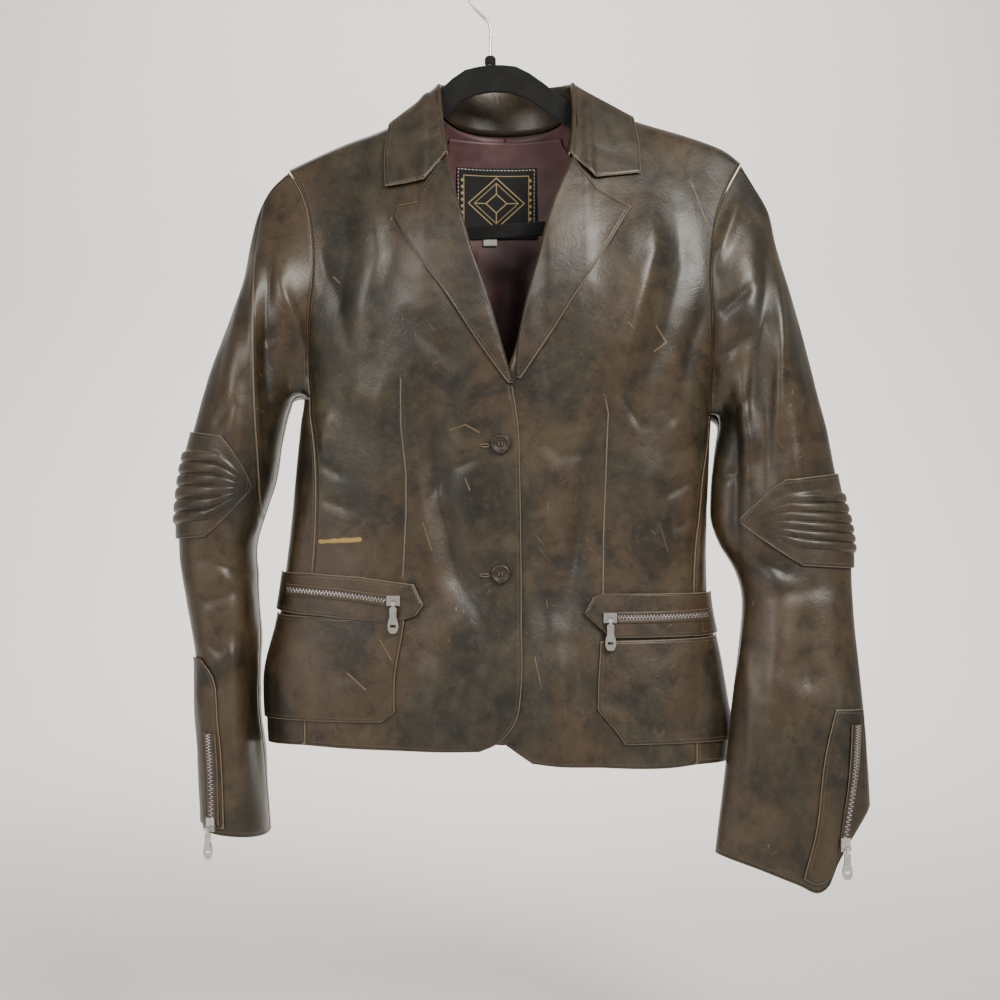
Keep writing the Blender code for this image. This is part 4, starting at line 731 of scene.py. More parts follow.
def front_cloth(side):
    """One front, with its creases and its dart."""
    right = side == "right"
    roll, armhole = ROLL[side], ARMHOLE[side]
    inner = on_body(two_part(path(FRONT_EDGE[side]), path(roll)))
    outer = on_body(two_part(path(SIDE_SEAM[side]), path(armhole)), shift=SEAM / 2 if right else -SEAM / 2)
    hem = on_body(path(HEM[side]))
    neck, tip = roll[-1][0], armhole[-1][0]

    def top(s):
        x = neck + (tip - neck) * s
        return joined(angle_at(x, shoulder(x)), shoulder(x))

    s, v = cells_of("front")
    angle, z = np.moveaxis(coons(inner, outer, hem, top)(s, v), -1, 0)
    x = body_middle(angle, z)[..., 0]
    out = np.zeros(x.shape) if right else under_lap(x)
    quiet = ramp((ridge(x, True) - z) / 40)
    lift = creased(x, z, CREASES_FRONT[side]) * quiet
    dart, _ = to_line(x, z, DART[side])
    small = (uneven("front", x, z) - 0.5 * np.exp(-(dart / 4) ** 2)) * quiet
    near = np.minimum(s, 1 - s) * 14
    cloth = Cloth(body(angle, z, out + (lift + small) * ramp(near)), "lrb")
    cloth.marks["rim"] = np.where((v > ROW_SPLIT) & (s < 0.5), FAR, cloth.marks["rim"])
    cloth.marks["lift"], cloth.marks["dart"] = lift, dart
    return cloth


def back_cloth(side):
    """One back, from the middle seam to the side and the armhole."""
    seam, armhole = BACK_SEAM[side], BACK_ARMHOLE[side]
    sign = -1 if side == "right" else 1
    neck = [(CENTRE_BACK + sign * (CENTRE_BACK - x), z) for x, z in BACK_NECK]
    tip, inset = armhole[-1][0], sign * SEAM / 2
    neck_edge, outer_line = path(neck), two_part(path(seam), path(armhole))

    def back_point(x, z):
        angle = angle_at(x, z, False)
        return joined(np.where(sign * angle > 0, angle, angle + sign * 2 * math.pi), z)

    def inner(t):
        return back_point(CENTRE_BACK + inset, BACK_HEM + (neck[0][1] - BACK_HEM) * t)

    def outer(t):
        x, z = np.moveaxis(outer_line(t), -1, 0)
        return back_point(x - inset, z)

    def hem(s):
        x = CENTRE_BACK + inset
        return back_point(x + (seam[0][0] - x) * s, BACK_HEM + (seam[0][1] - BACK_HEM) * s)

    def top(s):
        x, z = np.moveaxis(neck_edge(s / NECK_PART), -1, 0)
        x = np.where(s == 0, x + inset, x)
        out = neck[-1][0] + (tip - neck[-1][0]) * (s - NECK_PART) / (1 - NECK_PART)
        near = s <= NECK_PART
        return back_point(np.where(near, x, out), np.where(near, z, shoulder(out)))

    across = np.concatenate([even(24, 0, NECK_PART), even(32, NECK_PART, 1)[1:]])
    s, v = grid_of(across, even(130))
    angle, z = np.moveaxis(coons(inner, outer, hem, top)(s, v), -1, 0)
    x = body_middle(angle, z)[..., 0]
    quiet = ramp((ridge(x, False) - z) / 40) * ramp(np.minimum(s, 1 - s) * 14)
    lift = creased(x, z, CREASES_BACK) * quiet
    small = uneven("back", x, z) * quiet
    cloth = Cloth(body(angle, z, lift + small), "lrb")
    cloth.marks["lift"] = lift
    return cloth


def side_cloth(side):
    """One side panel, from the front seam round to the back one."""
    front = path(SIDE_SEAM[side])
    back = path(BACK_SEAM[side])
    inset = (-1 if side == "right" else 1) * SEAM / 2
    columns, rows = GRIDS["side"]
    s, v = grid_of(even(columns), even(rows, 0, UNDERARM_PART))
    x, z = np.moveaxis(front(v), -1, 0)
    start = joined(angle_at(x + inset, z), z)
    x, z = np.moveaxis(back(v), -1, 0)
    end = joined(angle_at(x + inset, z, False), z)
    angle, z = np.moveaxis(start * (1 - s[..., None]) + end * s[..., None], -1, 0)
    x = body_middle(angle, z)[..., 0]
    calm = ramp(np.minimum(s, 1 - s) * 10)
    lift = creased(x, z, CREASES_SIDE) * calm
    small = uneven("side", TURN_RADIUS * angle, z) * calm
    cloth = Cloth(body(angle, z, lift + small))
    cloth.marks["lift"] = lift
    return cloth


class Sleeve:
    """One sleeve's surface, read at a station from 0 to 17 and an angle round it from its inner edge."""

    def __init__(self, side):
        right = side == "right"
        self.sign = -1 if right else 1
        self.row = stations(SLEEVE[side])
        self.folds = FOLDS_SLEEVE[side]
        self.creases = CREASES_SLEEVE[side]
        self.drop = None if right else smooth(CUFF_DROP_LEFT)
        seam = SIDE_SEAM[side]
        back = BACK_SEAM[side]
        fronts = ARMHOLE[side]
        backs = BACK_ARMHOLE[side]
        under = (seam[-1][1] + back[-1][1]) / 2
        middle = body_middle(np.array(self.sign * math.pi / 2), np.array(under)) + [0, 0, 1]

        def loop(points, front):
            x, z = np.array(points, float).T
            return path([middle, *body_middle(angle_at(x, z, front), z)])

        self.front, self.back = loop(fronts, True), loop(backs, False)

    def armhole(self, angle):
        part = angle % (2 * math.pi) / math.pi
        front = (part <= 1)[..., None]
        edge = np.where(front, self.front(part), self.back(2 - part))
        return edge + [self.sign * SLEEVE_CLEAR, 0, 0]

    def plain(self, t, angle):
        outer_x, outer_z, inner_x, inner_z, depth, centre = np.moveaxis(self.row(t), -1, 0)
        across = power(np.cos(angle), 2 / SLEEVE_POWER)
        face = power(np.sin(angle), 2 / SLEEVE_POWER)
        x = (outer_x + inner_x) / 2 + (inner_x - outer_x) / 2 * across
        z = (outer_z + inner_z) / 2 + (inner_z - outer_z) / 2 * across
        return joined(x, centre - depth * face, z), across, face

    def middle(self, t, angle):
        t, angle = np.broadcast_arrays(np.asarray(t, float), np.asarray(angle, float))
        spot, across, face = self.plain(t, angle)
        blend = (1 - ramp(t / HEAD_STATIONS))[..., None]
        spot = spot + blend * (self.armhole(angle) - self.plain(0 * t, angle)[0])
        if self.drop:
            fall = self.drop((1 - across) / 2) * np.where(face >= 0, 1, CUFF_DROP_BACK)
            spot[..., 2] -= fall * (np.maximum(t - 15, 0) / 2) ** 2
        row = self.row(t)
        half = np.abs(row[..., 0] - row[..., 2]) / 2
        lift = np.zeros(t.shape)
        for t0, a0, t1, a1, width, height in self.folds:
            part = (t - t0) / (t1 - t0)
            aside = (across - (a0 + (a1 - a0) * part)) * half / width
            lift += height * ramp((part + 0.15) / 0.35) * ramp((1.15 - part) / 0.35) * np.exp(-aside**2)
        spot[..., 1] -= lift * face * np.where(face >= 0, 1, BACK_FOLD_PART)
        return spot

    def normal(self, t, angle):
        down = self.middle(np.minimum(t + 0.05, 17), angle) - self.middle(np.maximum(t - 0.05, 0), angle)
        normal = np.cross(self.middle(t, angle + 0.02) - self.middle(t, angle - 0.02), down) * -self.sign
        return normal / np.linalg.norm(normal, axis=-1)[..., None]

    def point(self, t, angle, out=0.0):
        return self.middle(t, angle) + np.asarray(out)[..., None] * self.normal(t, angle)

    def crease(self, t, angle):
        """The height of the fine creases, in full on the front and softer on the back."""
        spot = self.middle(t, angle)
        face = np.sin(angle)
        lift = creased(spot[..., 0], spot[..., 2], self.creases)
        lift = lift * np.where(face >= 0, 1, -0.6) * np.minimum(1, np.abs(face) / 0.35)
        small = 0.4 * ripple(self.sign * spot[..., 0] + spot[..., 1], spot[..., 2], 48, 11)
        small += 0.12 * ripple(spot[..., 0] - spot[..., 1], spot[..., 2], 15, 12)
        return lift, small * ramp(t / 1.5)


def front_angle(across):
    """The angle round a sleeve's front where it lies this far across: 1 inner, -1 outer."""
    return np.arccos(power(np.clip(across, -1, 1), SLEEVE_POWER / 2))


def pleat(p):
    """The height of the pleats at a place from -1 to 1 across the patch."""
    turn = 2 * math.pi * PLEATS * (p + PLEAT_REACH) / (2 * PLEAT_REACH)
    height = 0.85 * PLEAT_HEIGHT * (0.5 * (1 - np.cos(turn + 0.7 * np.sin(turn)))) ** 0.5
    return np.where(np.abs(p) < PLEAT_REACH, height, 0)


def sleeve_cloth(sleeve, upper):
    """The upper or the under half of a sleeve."""
    s, t = grid_of(even(56 if upper else 40), even(200, 0, 17))
    turn = SEAM_ANGLE + (math.pi - 2 * SEAM_ANGLE) * s
    angle = turn if upper else 2 * math.pi - turn
    lift, small = sleeve.crease(t, angle)
    out = (lift + small) * ramp(np.minimum(s, 1 - s) * 12)
    cloth = Cloth(sleeve.point(t, angle, out), "lrbt")
    cloth.marks["lift"] = lift
    if upper and sleeve.sign < 0:
        cloth.marks["dart"] = to_line(cloth.points[..., 0], cloth.points[..., 2], SLEEVE_LINE)[0]
    return cloth


def elbow_cloth(side, sleeve):
    """The ribbed patch that wraps the elbow from its point in front round to the back."""
    middle, half, apex, start = ELBOW[side]
    rows = np.concatenate([even(8, -1, -PLEAT_REACH), even(12 * PLEATS, -PLEAT_REACH, PLEAT_REACH)[1:],
                           even(8, PLEAT_REACH, 1)[1:]])
    across = np.concatenate([even(16, 0, 0.18), even(64, 0.18, 0.82)[1:], even(16, 0.82, 1)[1:]])
    q, p = grid_of(across, rows)
    taper = np.minimum(1, (0.012 + np.minimum(q, 1 - q)) / ELBOW_TAPER)
    angle = apex + (2 * math.pi - 2 * apex) * q
    t = middle + p * half * taper
    window = ramp((np.minimum(q, 1 - q) - start) / 0.12)
    ribs = pleat(p + 0.03 * np.sin(9 * q)) * window
    lift, small = sleeve.crease(t, angle)
    out = LEATHER / 2 + WIDE_LAP + TRIM / 2 + ribs + (lift + small) * (1 - window) * ramp(q * 20)
    cloth = Cloth(sleeve.point(t, angle, out), "lrbt")
    cloth.marks["lift"] = ribs - PLEAT_HEIGHT * 0.5 * window * (np.abs(p) < PLEAT_REACH)
    return cloth


def placket_cloth(side, sleeve):
    inner = path(PLACKET[side])
    s, v = cells_of("placket")
    t, across = np.moveaxis(inner(v), -1, 0)
    start = front_angle(PLACKET_RIM)
    angle = start + (front_angle(across) - start) * s
    lift, small = sleeve.crease(t, angle)
    return Cloth(sleeve.point(t, angle, LEATHER / 2 + CUFF_LAP + TRIM / 2 + lift * 0.5 + small))


def cuff_line(side, sleeve):
    """The middle of a cuff's zip and its outward direction, as functions of 0 to 1 down it."""
    line = path(CUFF_ZIP[side])
    out = LEATHER / 2 + CUFF_LAP + 1.5 * TRIM + LAP

    def spot(v, aside=0.0, more=0.0):
        t, across = np.moveaxis(line(v), -1, 0)
        half = np.abs(sleeve.row(t)[..., 0] - sleeve.row(t)[..., 2]) / 2
        angle = front_angle(across + aside / half)
        lift, small = sleeve.crease(t, angle)
        return sleeve.point(t, angle, out + more + lift * 0.5 + small)

    return spot


def round_body(points):
    """Straight runs between (x, z) points, in (angle, z), so that they go evenly round the side."""
    x, z = np.array(points, float).T
    curve = path(joined(TURN_RADIUS * angle_at(x, z), z), straight=True)

    def spot(t):
        return curve(t) / (TURN_RADIUS, 1)

    return spot


def front_lift(x, z):
    """The creases and the unevenness of the fronts, softened for what lies on them."""
    right, left = (creased(x, z, CREASES_FRONT[side]) for side in ("right", "left"))
    creases = np.where(x < WRAP_X, right, left)
    return LAID_PART * (creases + uneven("laid", x, z))


def laid_cloth(kind, edges, out):
    """A flat piece laid on the front, between its inner, outer, lower and upper edges."""
    s, v = cells_of(kind)
    angle, z = np.moveaxis(coons(*(round_body(edge) for edge in edges))(s, v), -1, 0)
    x = body_middle(angle, z)[..., 0]
    return Cloth(body(angle, z, out + front_lift(x, z) * ramp(np.abs(np.cos(angle)) / 0.5)), "lbt")


def pocket_line(side, level):
    """The middle of a pocket's zip, as a function of 0 to 1 along it."""
    line = path(ZIP[side])

    def spot(v, aside=0.0, more=0.0):
        x, z = np.moveaxis(line(v), -1, 0)
        z = z + aside
        return body(angle_at(x, z), z, level + more + front_lift(x, z))

    return spot


def shoulder_section(x, lift):
    """The cut across the shoulder at x, moved out: (y, z) from the front over the ridge to the back."""
    drops = np.array(SECTION_DROPS)
    middle = []
    for front in (True, False):
        z = ridge(np.array(x), front) - drops
        half = body_middle(angle_at(x, z, front), z)[:, 1:]
        middle += [half[::-1] if front else half]
    middle = np.concatenate(middle)
    lean = np.gradient(middle, axis=0)
    lean /= np.linalg.norm(lean, axis=1)[:, None]
    slope = (shoulder(x + 1) - shoulder(x - 1)) / 2
    return middle + lift * math.hypot(1, slope) * np.stack([-lean[:, 1], lean[:, 0]], axis=1)


def over_shoulder(x, drop, lift):
    """A point above the panels at a drop from the shoulder line, negative in front."""
    curve = shoulder_section(x, lift)
    drops = [-d for d in SECTION_DROPS[::-1]] + SECTION_DROPS
    y, z = (float(np.interp(drop, drops, curve[:, i])) for i in (0, 1))
    return np.array([x, y, z])


def clear_of_body(spot, lift):
    """The spot, moved out where it would sink into the panels."""
    x, y, z = spot
    curve = shoulder_section(x, lift)
    if not curve[0, 0] < y < curve[-1, 0] or z > np.interp(y, curve[:, 0], curve[:, 1]):
        return spot
    starts, steps = curve[:-1], np.diff(curve, axis=0)
    parts = np.clip(((np.array([y, z]) - starts) * steps).sum(1) / (steps * steps).sum(1), 0, 1)
    feet = starts + parts[:, None] * steps
    near = feet[np.argmin(np.linalg.norm(feet - [y, z], axis=1))]
    return np.array([x, *near])


def collar_cloth():
    """One folded strip: the stand inside the neck, the roll, and the fall that lies on the shoulders."""
    seam = stations(COLLAR_SEAM_RIGHT + COLLAR_SEAM_LEFT[-2::-1])
    roll = stations(COLLAR_ROLL_RIGHT + COLLAR_ROLL_LEFT[-2::-1])
    edge = stations(COLLAR_EDGE_RIGHT + COLLAR_EDGE_LEFT[-2::-1])
    last = 2 * len(COLLAR_SEAM_RIGHT) - 2
    below = np.array([0, 0, ROLL_RISE])
    rows = np.concatenate([even(8), even(8, 1, 2)[1:], even(26, 2, 3)[1:]])
    near = np.concatenate([even(14, 0, 1), even(60, 1, last / 2)[1:]])
    columns = np.concatenate([near, last - near[-2::-1]])
    points = np.zeros((len(columns), len(rows), 3))
    for i, t in enumerate(columns):
        low, top = seam(t), roll(t)
        rim = over_shoulder(*edge(t), COLLAR_LIFT)
        aside = (rim - low) * [1, 1, 0]
        aside /= np.linalg.norm(aside)
        inner, outer = top - ROLL_RADIUS * aside - below, top + ROLL_RADIUS * aside - below
        end = max(0, 1 - min(t, last - t))
        for j, v in enumerate(rows):
            if v <= 1:
                points[i, j] = low + (inner - low) * v
                continue
            if v < 2:
                turn = math.pi * (v - 1)
                points[i, j] = top - ROLL_RADIUS * math.cos(turn) * aside + (math.sin(turn) - 1) * below
                continue
            w = v - 2
            spot = outer + (rim - outer) * w
            spot[2] -= GORGE_DIP * end * end * min(w / GORGE_PART, (1 - w) / (1 - GORGE_PART))
            points[i, j] = clear_of_body(spot, COLLAR_LIFT)
    return Cloth(points, "lrt")


def lapel_cloth(side):
    """A lapel, with the turn of its roll into the neck."""
    right = side == "right"
    roll = LAPEL_ROLL[side]
    edge = LAPEL_EDGE[side]
    top = LAPEL_TOP[side]
    start, end = on_body(path(roll)), on_body(path(edge))
    zero = np.zeros(1)

    def bottom(s):
        return start(zero) * (1 - s[..., None]) + end(zero) * s[..., None]

    s, v = cells_of("lapel")
    angle, z = np.moveaxis(coons(start, end, bottom, on_body(path(top, straight=True)))(s, v), -1, 0)
    x = body_middle(angle, z)[..., 0]
    out = LEATHER + LAPEL_LIFT + (0 if right else under_lap(x))
    relief = uneven("lapel", x, z) * ramp(np.minimum(s, v) * 5)
    relief += LAPEL_BELLY * np.sin(math.pi * s) * np.sin(math.pi * v)
    face = body(angle, z, out + relief)
    inside = body(angle[:1], z[:1], out[:1] - ROLL_THICK if np.ndim(out) else out - ROLL_THICK)
    away = np.array([1.0 if right else -1.0, 0, 0])
    turn = math.pi * even(8, 1, 0)[:-1, None, None]
    curl = (face[:1] + inside) / 2 + (face[:1] - inside) / 2 * np.cos(turn) + ROLL_REACH * away * np.sin(turn)
    cloth = Cloth(np.concatenate([curl, face]), "rbt")
    steps = np.linalg.norm(np.diff(cloth.points, axis=0), axis=-1)
    along = np.concatenate([np.zeros_like(steps[:1]), np.cumsum(steps, axis=0)])
    cloth.marks["dart"] = along - along[5:6]
    return cloth


def lining_cloth():
    """The lining behind the open neck, with the pleat down its middle and its loose folds."""
    s, v = cells_of("lining")
    z = LINING_BOTTOM + (LINING_TOP - LINING_BOTTOM) * v
    half = LINING_HALF - LINING_NARROWING * ramp((z - LINING_SHOULDER) / (LINING_TOP - LINING_SHOULDER))
    x = CENTRE_BACK + half * (2 * s - 1)
    angle = angle_at(x, z, False)
    low = ramp((LINING_PLEAT_TOP - z) / 30)
    middle = x + 9 - 0.02 * z
    pleat_fold = 1.2 * np.tanh(middle / 1.2) * np.exp(-(middle / 16) ** 2) * low
    folds = 1.3 * np.sin(x / 6.5 + 0.8 * np.sin(z / 37)) * low + uneven("lining", x, z)
    folds *= ramp(np.minimum(s, 1 - s) * 10) * ramp((1 - v) * 8)
    label = ramp((z - LABEL[2] + 8) / 8)
    return Cloth(body(angle, z, LINING_IN - (folds + pleat_fold) * (1 - 0.8 * label)), "")


def tab_cloth(kind, rim, wave):
    """A woven piece laid on the lining, between its lowest and highest x and z."""
    x0, x1, z0, z1 = rim
    s, v = cells_of(kind)
    x, z = x0 + (x1 - x0) * s, z0 + (z1 - z0) * v
    out = LINING_IN - TRIM - WIDE_LAP - wave * ripple(x, z, 45, 41)
    return Cloth(body(angle_at(x, z, False), z, out))


class Value:
    """A shader socket that takes Python's arithmetic: each operation adds a Math node."""

    def __init__(self, finish, socket):
        self.finish = finish
        self.socket = socket

    def maths(self, operation, *values):
        return self.finish.node("ShaderNodeMath", {"operation": operation}, dict(enumerate(values)))

    def __add__(self, other):
        return self.maths("ADD", self, other)

    def __sub__(self, other):
        return self.maths("SUBTRACT", self, other)

    def __rsub__(self, other):
        return self.maths("SUBTRACT", other, self)

    def __mul__(self, other):
        return self.maths("MULTIPLY", self, other)

    def __truediv__(self, other):
        return self.maths("DIVIDE", self, other)

    def __abs__(self):
        return self.maths("ABSOLUTE", self)

    def __lt__(self, other):
        return self.maths("LESS_THAN", self, other)

    def __gt__(self, other):
        return self.maths("GREATER_THAN", self, other)

    __radd__ = __add__
    __rmul__ = __mul__

    def least(self, other):
        return self.maths("MINIMUM", self, other)

    def most(self, other):
        return self.maths("MAXIMUM", self, other)

    def part(self):
        return self.maths("FRACT", self)

    def sine(self):
        return self.maths("SINE", self)

    def step(self, low, high):
        """A soft step from 0 at low to 1 at high; it falls where low is the larger."""
        ends = {0: self, 1: min(low, high), 2: max(low, high)}
        ends.update({3: 0.0, 4: 1.0} if low < high else {3: 1.0, 4: 0.0})
        return self.finish.node("ShaderNodeMapRange", {"interpolation_type": "SMOOTHSTEP"}, ends)


class Finish:
    """One material with the nodes that paint it."""

    def __init__(self, name):
        self.material = bpy.data.materials.new(name)
        self.material.use_nodes = True
        self.tree = self.material.node_tree
        self.shader = self.tree.nodes["Principled BSDF"]

    def node(self, kind, settings=None, inputs=None, output=0):
        """Any node: its settings first, then the value or the link of each socket that is given."""
        made = self.tree.nodes.new(kind)
        for key, value in (settings or {}).items():
            setattr(made, key, value)
        for key, value in (inputs or {}).items():
            self.feed(made.inputs[key], value)
        return Value(self, made.outputs[output])

    def feed(self, socket, value):
        if isinstance(value, Value):
            self.tree.links.new(value.socket, socket)
            return
        if hasattr(socket.default_value, "__len__"):
            value = (*value, 1.0)[:len(socket.default_value)]
        socket.default_value = value

    def set(self, **values):
        """Sets or links the shader's own sockets, named with underscores."""
        for key, value in values.items():
            self.feed(self.shader.inputs[key.replace("_", " ")], value)
        return self.material

    def place(self):
        """The place on the object, in metres."""
        return self.node("ShaderNodeTexCoord", output=3)

    def axes(self, place):
        """The three coordinates of a place, in millimetres."""
        split = self.node("ShaderNodeSeparateXYZ", inputs={0: place}).socket.node
        return [Value(self, split.outputs[i]) * 1000 for i in range(3)]

    def mark(self, name):
        """A number that the mesh holds at each point."""
        return self.node("ShaderNodeAttribute", {"attribute_name": name}, output=2)

    def noise(self, place, scale, detail=3.0, roughness=0.55, distortion=0.0):
        inputs = {"Vector": place, "Scale": scale, "Detail": detail, "Roughness": roughness,
                  "Distortion": distortion}
        return self.node("ShaderNodeTexNoise", inputs=inputs)

    def cells(self, place, scale, feature="F1"):
        inputs = {"Vector": place, "Scale": scale}
        return self.node("ShaderNodeTexVoronoi", {"feature": feature}, inputs)

    def stretched(self, place, scale):
        return self.node("ShaderNodeVectorMath", {"operation": "MULTIPLY"}, {0: place, 1: scale})

    def mix(self, part, first, second):
        return self.node("ShaderNodeMix", {"data_type": "RGBA"}, {0: part, 6: first, 7: second}, 2)

    def relief(self, height, depth, under=None):
        """A bump of this depth in millimetres, over an earlier one if it is given."""
        inputs = {"Height": height, "Distance": depth * MM, "Strength": 1.0}
        if under:
            inputs["Normal"] = under
        return self.node("ShaderNodeBump", inputs=inputs)

    def streaks(self, place, turn):
        """Sparse thin lines that all run one way across the front."""
        turned = self.node("ShaderNodeVectorRotate", {"rotation_type": "Y_AXIS"},
                           {"Vector": place, "Angle": turn})
        fine = self.noise(self.stretched(turned, (48.0, 48.0, 1150.0)), 1.0, 1.0)
        return fine.step(0.75, 0.80)

    def from_run(self, flat, start, end):
        """The distance in millimetres from a straight run between two (x, z) points."""
        a, b = Vector((start[0], 0, start[1])), Vector((end[0], 0, end[1]))
        run = b - a
        offset = self.node("ShaderNodeVectorMath", {"operation": "SUBTRACT"}, {0: flat, 1: a})
        along = self.node("ShaderNodeVectorMath", {"operation": "DOT_PRODUCT"}, {0: offset, 1: run}, 1)
        along = (along / run.length_squared).most(0).least(1)
        foot = self.node("ShaderNodeVectorMath", {"operation": "SCALE"}, {0: run, 3: along})
        away = self.node("ShaderNodeVectorMath", {"operation": "SUBTRACT"}, {0: offset, 1: foot})
        return self.node("ShaderNodeVectorMath", {"operation": "LENGTH"}, {0: away}, 1)


# Scuffs on the fronts, as runs of (x, z) points and their width
SCUFFS = [
    ([(148.5, -345), (158, -359), (147, -367)], 1.1),
    ([(183, -209), (196, -248)], 0.7),
    ([(-22, -481), (-18, -491)], 0.8),
    ([(-36, -438), (-22, -433), (-9, -440)], 0.6),
    ([(-127, -655), (-111, -669)], 0.9),
    ([(-141, -299), (-135, -305)], 0.9),
    ([(-98, -625), (-88, -642)], 0.6),
    ([(152, -520), (160, -546)], 0.5),
    ([(40, -640), (46, -668)], 0.5),
    ([(-60, -520), (-52, -545)], 0.5),
]
SMEAR = ((-153, -537.5), (-117, -535.5), 2.6)
# How the hide's fields tint it: the field, where the tint starts and is full, how strong it is, its colour
TINTS = (("cloud", 0.50, 0.70, 0.50, "worn"), ("cloud", 0.50, 0.34, 0.78, "deep_tone_and_shade"),
         ("mottle", 0.50, 0.72, 0.30, "worn"), ("mottle", 0.48, 0.32, 0.50, "deep_tone_and_shade"),
         ("speck", 0.55, 0.75, 0.20, "worn"))
# The ways that the fine scratches run, as turns of the front in radians
SCRATCH_TURNS = (0.55, -0.9, 1.7)
# Grooves beside a cut edge and beside a dart, in millimetres from it; their shade is painted into the colour
EDGE_GROOVE, DART_GROOVE = 1.9, 1.4


def begun(name):
    """A new finish, the jacket's colours and the place on the object."""
    finish = Finish(name)
    return finish, bpy.context.scene.jacket_colours, finish.place()


def leather(name, shade=1.0, red=0.0, marked=False, ribbed=False):
    """Waxed hide that has worn pale on its folds and its cut edges, with shade painted into its creases,
    grooves and pleat gaps.
    """
    finish, colours, place = begun(name)
    sizes = bpy.context.scene.jacket_sizes
    rim, run = finish.mark("rim"), finish.mark("run")
    lift, dart = finish.mark("lift"), finish.mark("dart")
    broad = finish.noise(finish.stretched(place, (1.0, 1.0, 0.5)), 11.0, 4.0, 0.55, 0.5)
    cloud = finish.noise(place, 19.0, 5.0, 0.62, 0.6)
    mottle = finish.noise(place, 75.0, 5.0, 0.65)
    speck = finish.noise(place, 420.0, 2.0, 0.5)
    colour = finish.mix(broad.step(0.40 - red, 0.60 - red), colours.olive, colours.russet)
    fields = {"cloud": cloud, "mottle": mottle, "speck": speck}
    for field, start, full, part, tint in TINTS:
        colour = finish.mix(fields[field].step(start, full) * part, colour, getattr(colours, tint))
    rub = lift.step(1.0, 5.0) * (0.25 + cloud * 0.5)
    colour = finish.mix(rub * 0.55, colour, colours.worn)
    # Painted shade: the hide is darkened in the troughs of its creases
    colour = finish.mix(lift.step(-0.6, -3.6) * 0.5, colour, colours.deep_tone_and_shade)
    nick = finish.cells(finish.stretched(place, (1.0, 1.0, 0.35)), 85.0).step(0.085, 0.045)
    lines = functools.reduce(Value.most, [finish.streaks(place, turn) for turn in SCRATCH_TURNS])
    scratches = (lines * finish.noise(place, 9.0, 1.0).step(0.44, 0.56)).most(
        nick * finish.noise(place, 14.0, 1.0).step(0.58, 0.66) * 0.8)
    colour = finish.mix(scratches * 0.45, colour, colours.scratch)
    cut = (rim + (cloud - 0.5) * 0.9).step(0.95, 0.35)
    if ribbed:
        # Painted shade in the gaps between the elbow's pleats
        colour = finish.mix(lift.step(-0.3, -1.3) * 0.9, colour, colours.deep_tone_and_shade)
        cut = cut.most(lift.step(1.0, 1.5) * mottle.step(0.40, 0.60) * 0.5)
    cut = cut.most((abs(dart) + (mottle - 0.5) * 0.8).step(0.75, 0.25) * 0.75)
    # Painted shade: a dark line in the grooves beside cut edges and darts, which the bump also presses in
    shaded_groove = abs(rim - EDGE_GROOVE).step(0.9, 0.1).most(abs(abs(dart) - DART_GROOVE).step(0.8, 0.1))
    colour = finish.mix(shaded_groove * 0.45, colour, colours.deep_tone_and_shade)
    pitch = sizes.stitch_pitch * 1000
    dash = abs((run / pitch).part() - 0.5).step(0.40, 0.32)
    stitch = abs(rim - sizes.stitch_inset * 1000).step(0.42, 0.2) * dash
    colour = finish.mix(stitch * 0.55, colour, colours.thread)
    colour = finish.mix(cut * 0.7, colour, colours.cut_edge)
    if marked:
        flat = finish.stretched(place, (1000.0, 0.0, 1000.0))
        wobble = (mottle - 0.5) * 1.6
        runs = [(start, end, width) for points, width in SCUFFS for start, end in zip(points, points[1:])]
        scuffs = [(finish.from_run(flat, start, end) + wobble).step(width, width * 0.35)
                  for start, end, width in runs]
        colour = finish.mix(functools.reduce(Value.most, scuffs) * 0.5, colour, colours.scratch)
        start, end, width = SMEAR
        smear = (finish.from_run(flat, start, end) + wobble * 2.2).step(width, width * 0.4)
        colour = finish.mix(smear * 0.9, colour, colours.mustard)
    # Painted shade: a shade below 1 makes a darker copy of the same hide, used for the lapels, the collar and
    # the elbow patches
    if shade < 1:
        colour = finish.mix(1.0 - shade, colour, colours.deep_tone_and_shade)
    pores = finish.cells(place, 1150.0)
    grain = finish.noise(place, 260.0, 4.0, 0.6)
    wrinkle = abs(finish.noise(place, 60.0, 3.0, 0.5, 0.8) - 0.5).step(0.0, 0.06)
    bump = finish.relief(pores, sizes.grain_depth * 1000)
    bump = finish.relief(grain * 0.8 + wrinkle * 0.25, 0.16, bump)
    bump = finish.relief(stitch * 0.5 - shaded_groove * 0.35 - scratches * 0.15, 0.4, bump)
    rough = 0.25 + mottle * 0.18 + cloud * 0.12 + cut * 0.3
    return finish.set(Base_Color=colour, Roughness=rough, Normal=bump, Coat_Weight=0.10, Coat_Roughness=0.32)


def raw_edge():
    """The pale core of the hide at a cut edge."""
    finish, colours, place = begun("raw_edge")
    colour = finish.mix(finish.noise(place, 300.0).step(0.35, 0.65), colours.cut_edge, colours.worn)
    bump = finish.relief(finish.noise(place, 900.0), 0.15)
    return finish.set(Base_Color=colour, Roughness=0.85, Normal=bump)


def satin_lining():
    finish, colours, place = begun("satin_lining")
    weave = finish.noise(finish.stretched(place, (1.0, 1.0, 0.15)), 1800.0, 1.0)
    tone = finish.mix(finish.noise(place, 25.0).step(0.35, 0.7), colours.lining, colours.lining_dark)
    return finish.set(Base_Color=tone, Roughness=0.42 + weave * 0.12, Normal=finish.relief(weave, 0.05))


# The label's ornament, in millimetres from the middle of the label
LABEL_BORDER, LABEL_FRAME = 3.2, 8.5
LABEL_LOZENGES = ((24.0, 0.9), (19.0, 0.6), (9.0, 0.9))


